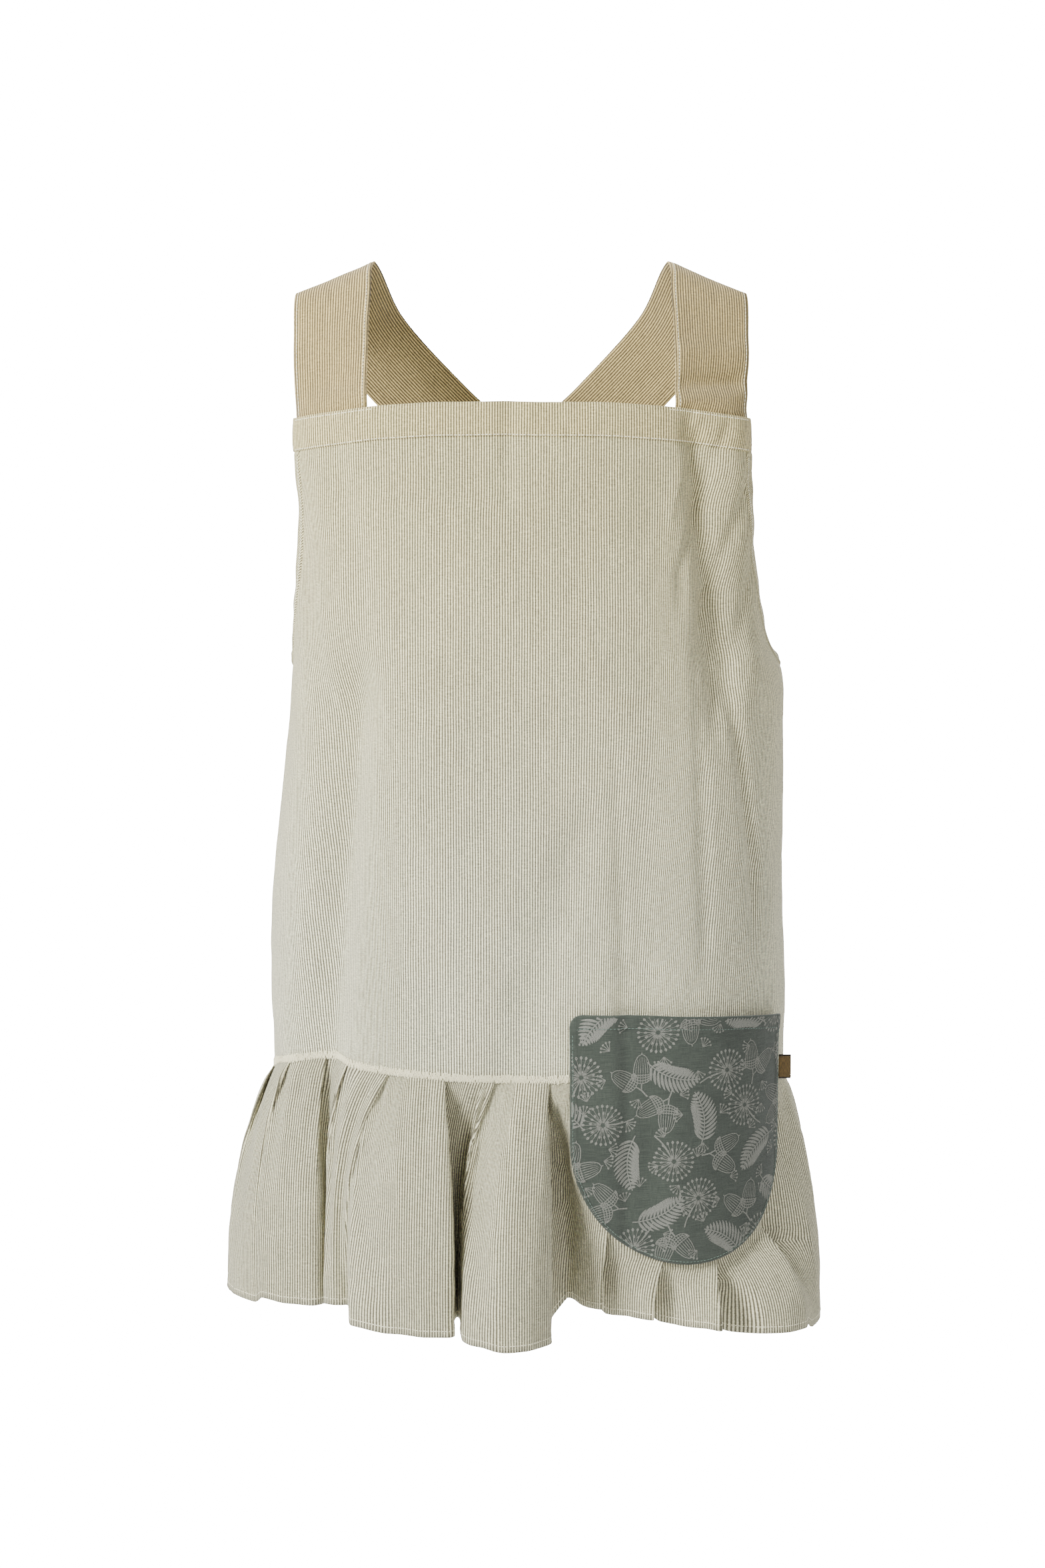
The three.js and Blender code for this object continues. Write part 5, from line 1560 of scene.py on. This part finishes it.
print_points = np.array(print_points)
ink_across = print_points[:, 0] / (POCKET_WIDTH / 2)
ink_level = -POCKET_TOP - print_points[:, 1]
inside = np.clip(ink_across, -1, 1)
kept = np.abs(ink_across) < 1 - INK_MARGIN / (POCKET_WIDTH / 2)
kept &= (ink_level < pocket_rim(inside) - INK_MARGIN) & (ink_level > pocket_foot(inside) + INK_MARGIN)
ink_places = on_pocket(inside, ink_level, pocket_faces(inside, ink_level)[0] + INK_LIFT)
print_faces = [face for face in print_faces if kept[list(face)].all()]
used = sorted({corner for face in print_faces for corner in face})
renumbered = {corner: number for number, corner in enumerate(used)}
print_mesh = bpy.data.meshes.new("pocket_print")
drawn_faces = [[renumbered[corner] for corner in face] for face in print_faces]
print_mesh.from_pydata((ink_places[used] * MM).tolist(), [], drawn_faces)
print_mesh.shade_smooth()
ink_weave = np.stack([print_points[:, 0], -ink_level], 1)[used]
ink_corners = np.array([loop.vertex_index for loop in print_mesh.loops])
print_mesh.uv_layers.new(name="weave").data.foreach_set("uv", ink_weave[ink_corners].ravel())

ink = Finish("pale_ink", roughness=0.92, sheen=0.1)
worn = ink.ranged(ink.noise(0.9, 2.4, 3.0, seed=71), 0.3, 0.62)
ink.colour(ink.mixed(worn, INK_WORN, INK_PALE))
ink.relief(ink.noise(0.4, 3.0, 2.0, seed=73), 0.0002)
sewn(print_mesh, ink.material)

# The label: a short loop of woven satin ribbon, gold-brown with dark selvedges, folded once and caught
# under the pocket's far edge. It's bare.
LABEL_WIDTH = 11
LABEL_HEIGHT = 22
LABEL_WALL = 1.2
LABEL_DROP = 38
LABEL_LEAN = 0.45
LABEL_RIBBON = 0.4
LABEL_STEPS = 26
LABEL_ROWS = 14
RIBBON_GOLD = (0.13, 0.082, 0.024, 1)
RIBBON_DARK = (0.022, 0.015, 0.008, 1)

label_girth = pocket_middle + pocket_half
label_out, label_along = seam_ways(label_girth)
label_top = float(pocket_rim(np.array([1.0]))[0]) - LABEL_DROP
share, down = grid(0, 1, LABEL_STEPS, LABEL_ROWS)
height = label_top - LABEL_HEIGHT * down
bend = 2 * share - 1
loop_out = LABEL_WIDTH * (1 - np.abs(bend) ** 2.6)
loop_side = (LABEL_WALL / 2) * np.sign(bend) * np.minimum(1, np.abs(bend) * 6) ** 0.5
root = cloth(label_girth, np.maximum(height, -SEAM_DROP), POCKET_STAND + POCKET_WALL / 2)


def label_face(grow):
    side = loop_side + grow * np.sign(bend) * np.minimum(1, np.abs(bend) * 8)
    out = loop_out + grow * np.exp(-((bend * 7) ** 2))
    step = CLEARANCE + LABEL_WALL + out * LABEL_LEAN
    stand = out * math.sqrt(1 - LABEL_LEAN**2)
    place = root[..., :2] + (step - side)[..., None] * label_along
    place = place + (stand + side * LABEL_LEAN)[..., None] * label_out
    return np.concatenate([place, height[..., None]], -1)


weave = np.stack([share * 2 * LABEL_WIDTH, down * LABEL_HEIGHT], -1)
label_mesh = shell("label_ribbon", label_face(LABEL_RIBBON / 2), label_face(-LABEL_RIBBON / 2), weave)
ribbon = Finish("woven_ribbon", roughness=0.55, sheen=0.1)
selvedge = ribbon.maths("ABSOLUTE", ribbon.maths("SUBTRACT", ribbon.down, LABEL_HEIGHT / 2))
dark = ribbon.ranged(selvedge, LABEL_HEIGHT / 2 - 1.7, LABEL_HEIGHT / 2 - 1.3)
grain = ribbon.maths("SINE", ribbon.maths("MULTIPLY", ribbon.across, 2 * math.pi / 0.3))
darker = ribbon.ranged(ribbon.noise(2.0, 0.3, seed=81), 0.3, 0.7, 0, 0.5)
gold = ribbon.mixed(darker, RIBBON_GOLD, RIBBON_DARK)
ribbon.colour(ribbon.mixed(dark, gold, RIBBON_DARK))
ribbon.relief(grain, 0.00006)
label_ribbon = sewn(label_mesh, ribbon.material, ["label_tab"])
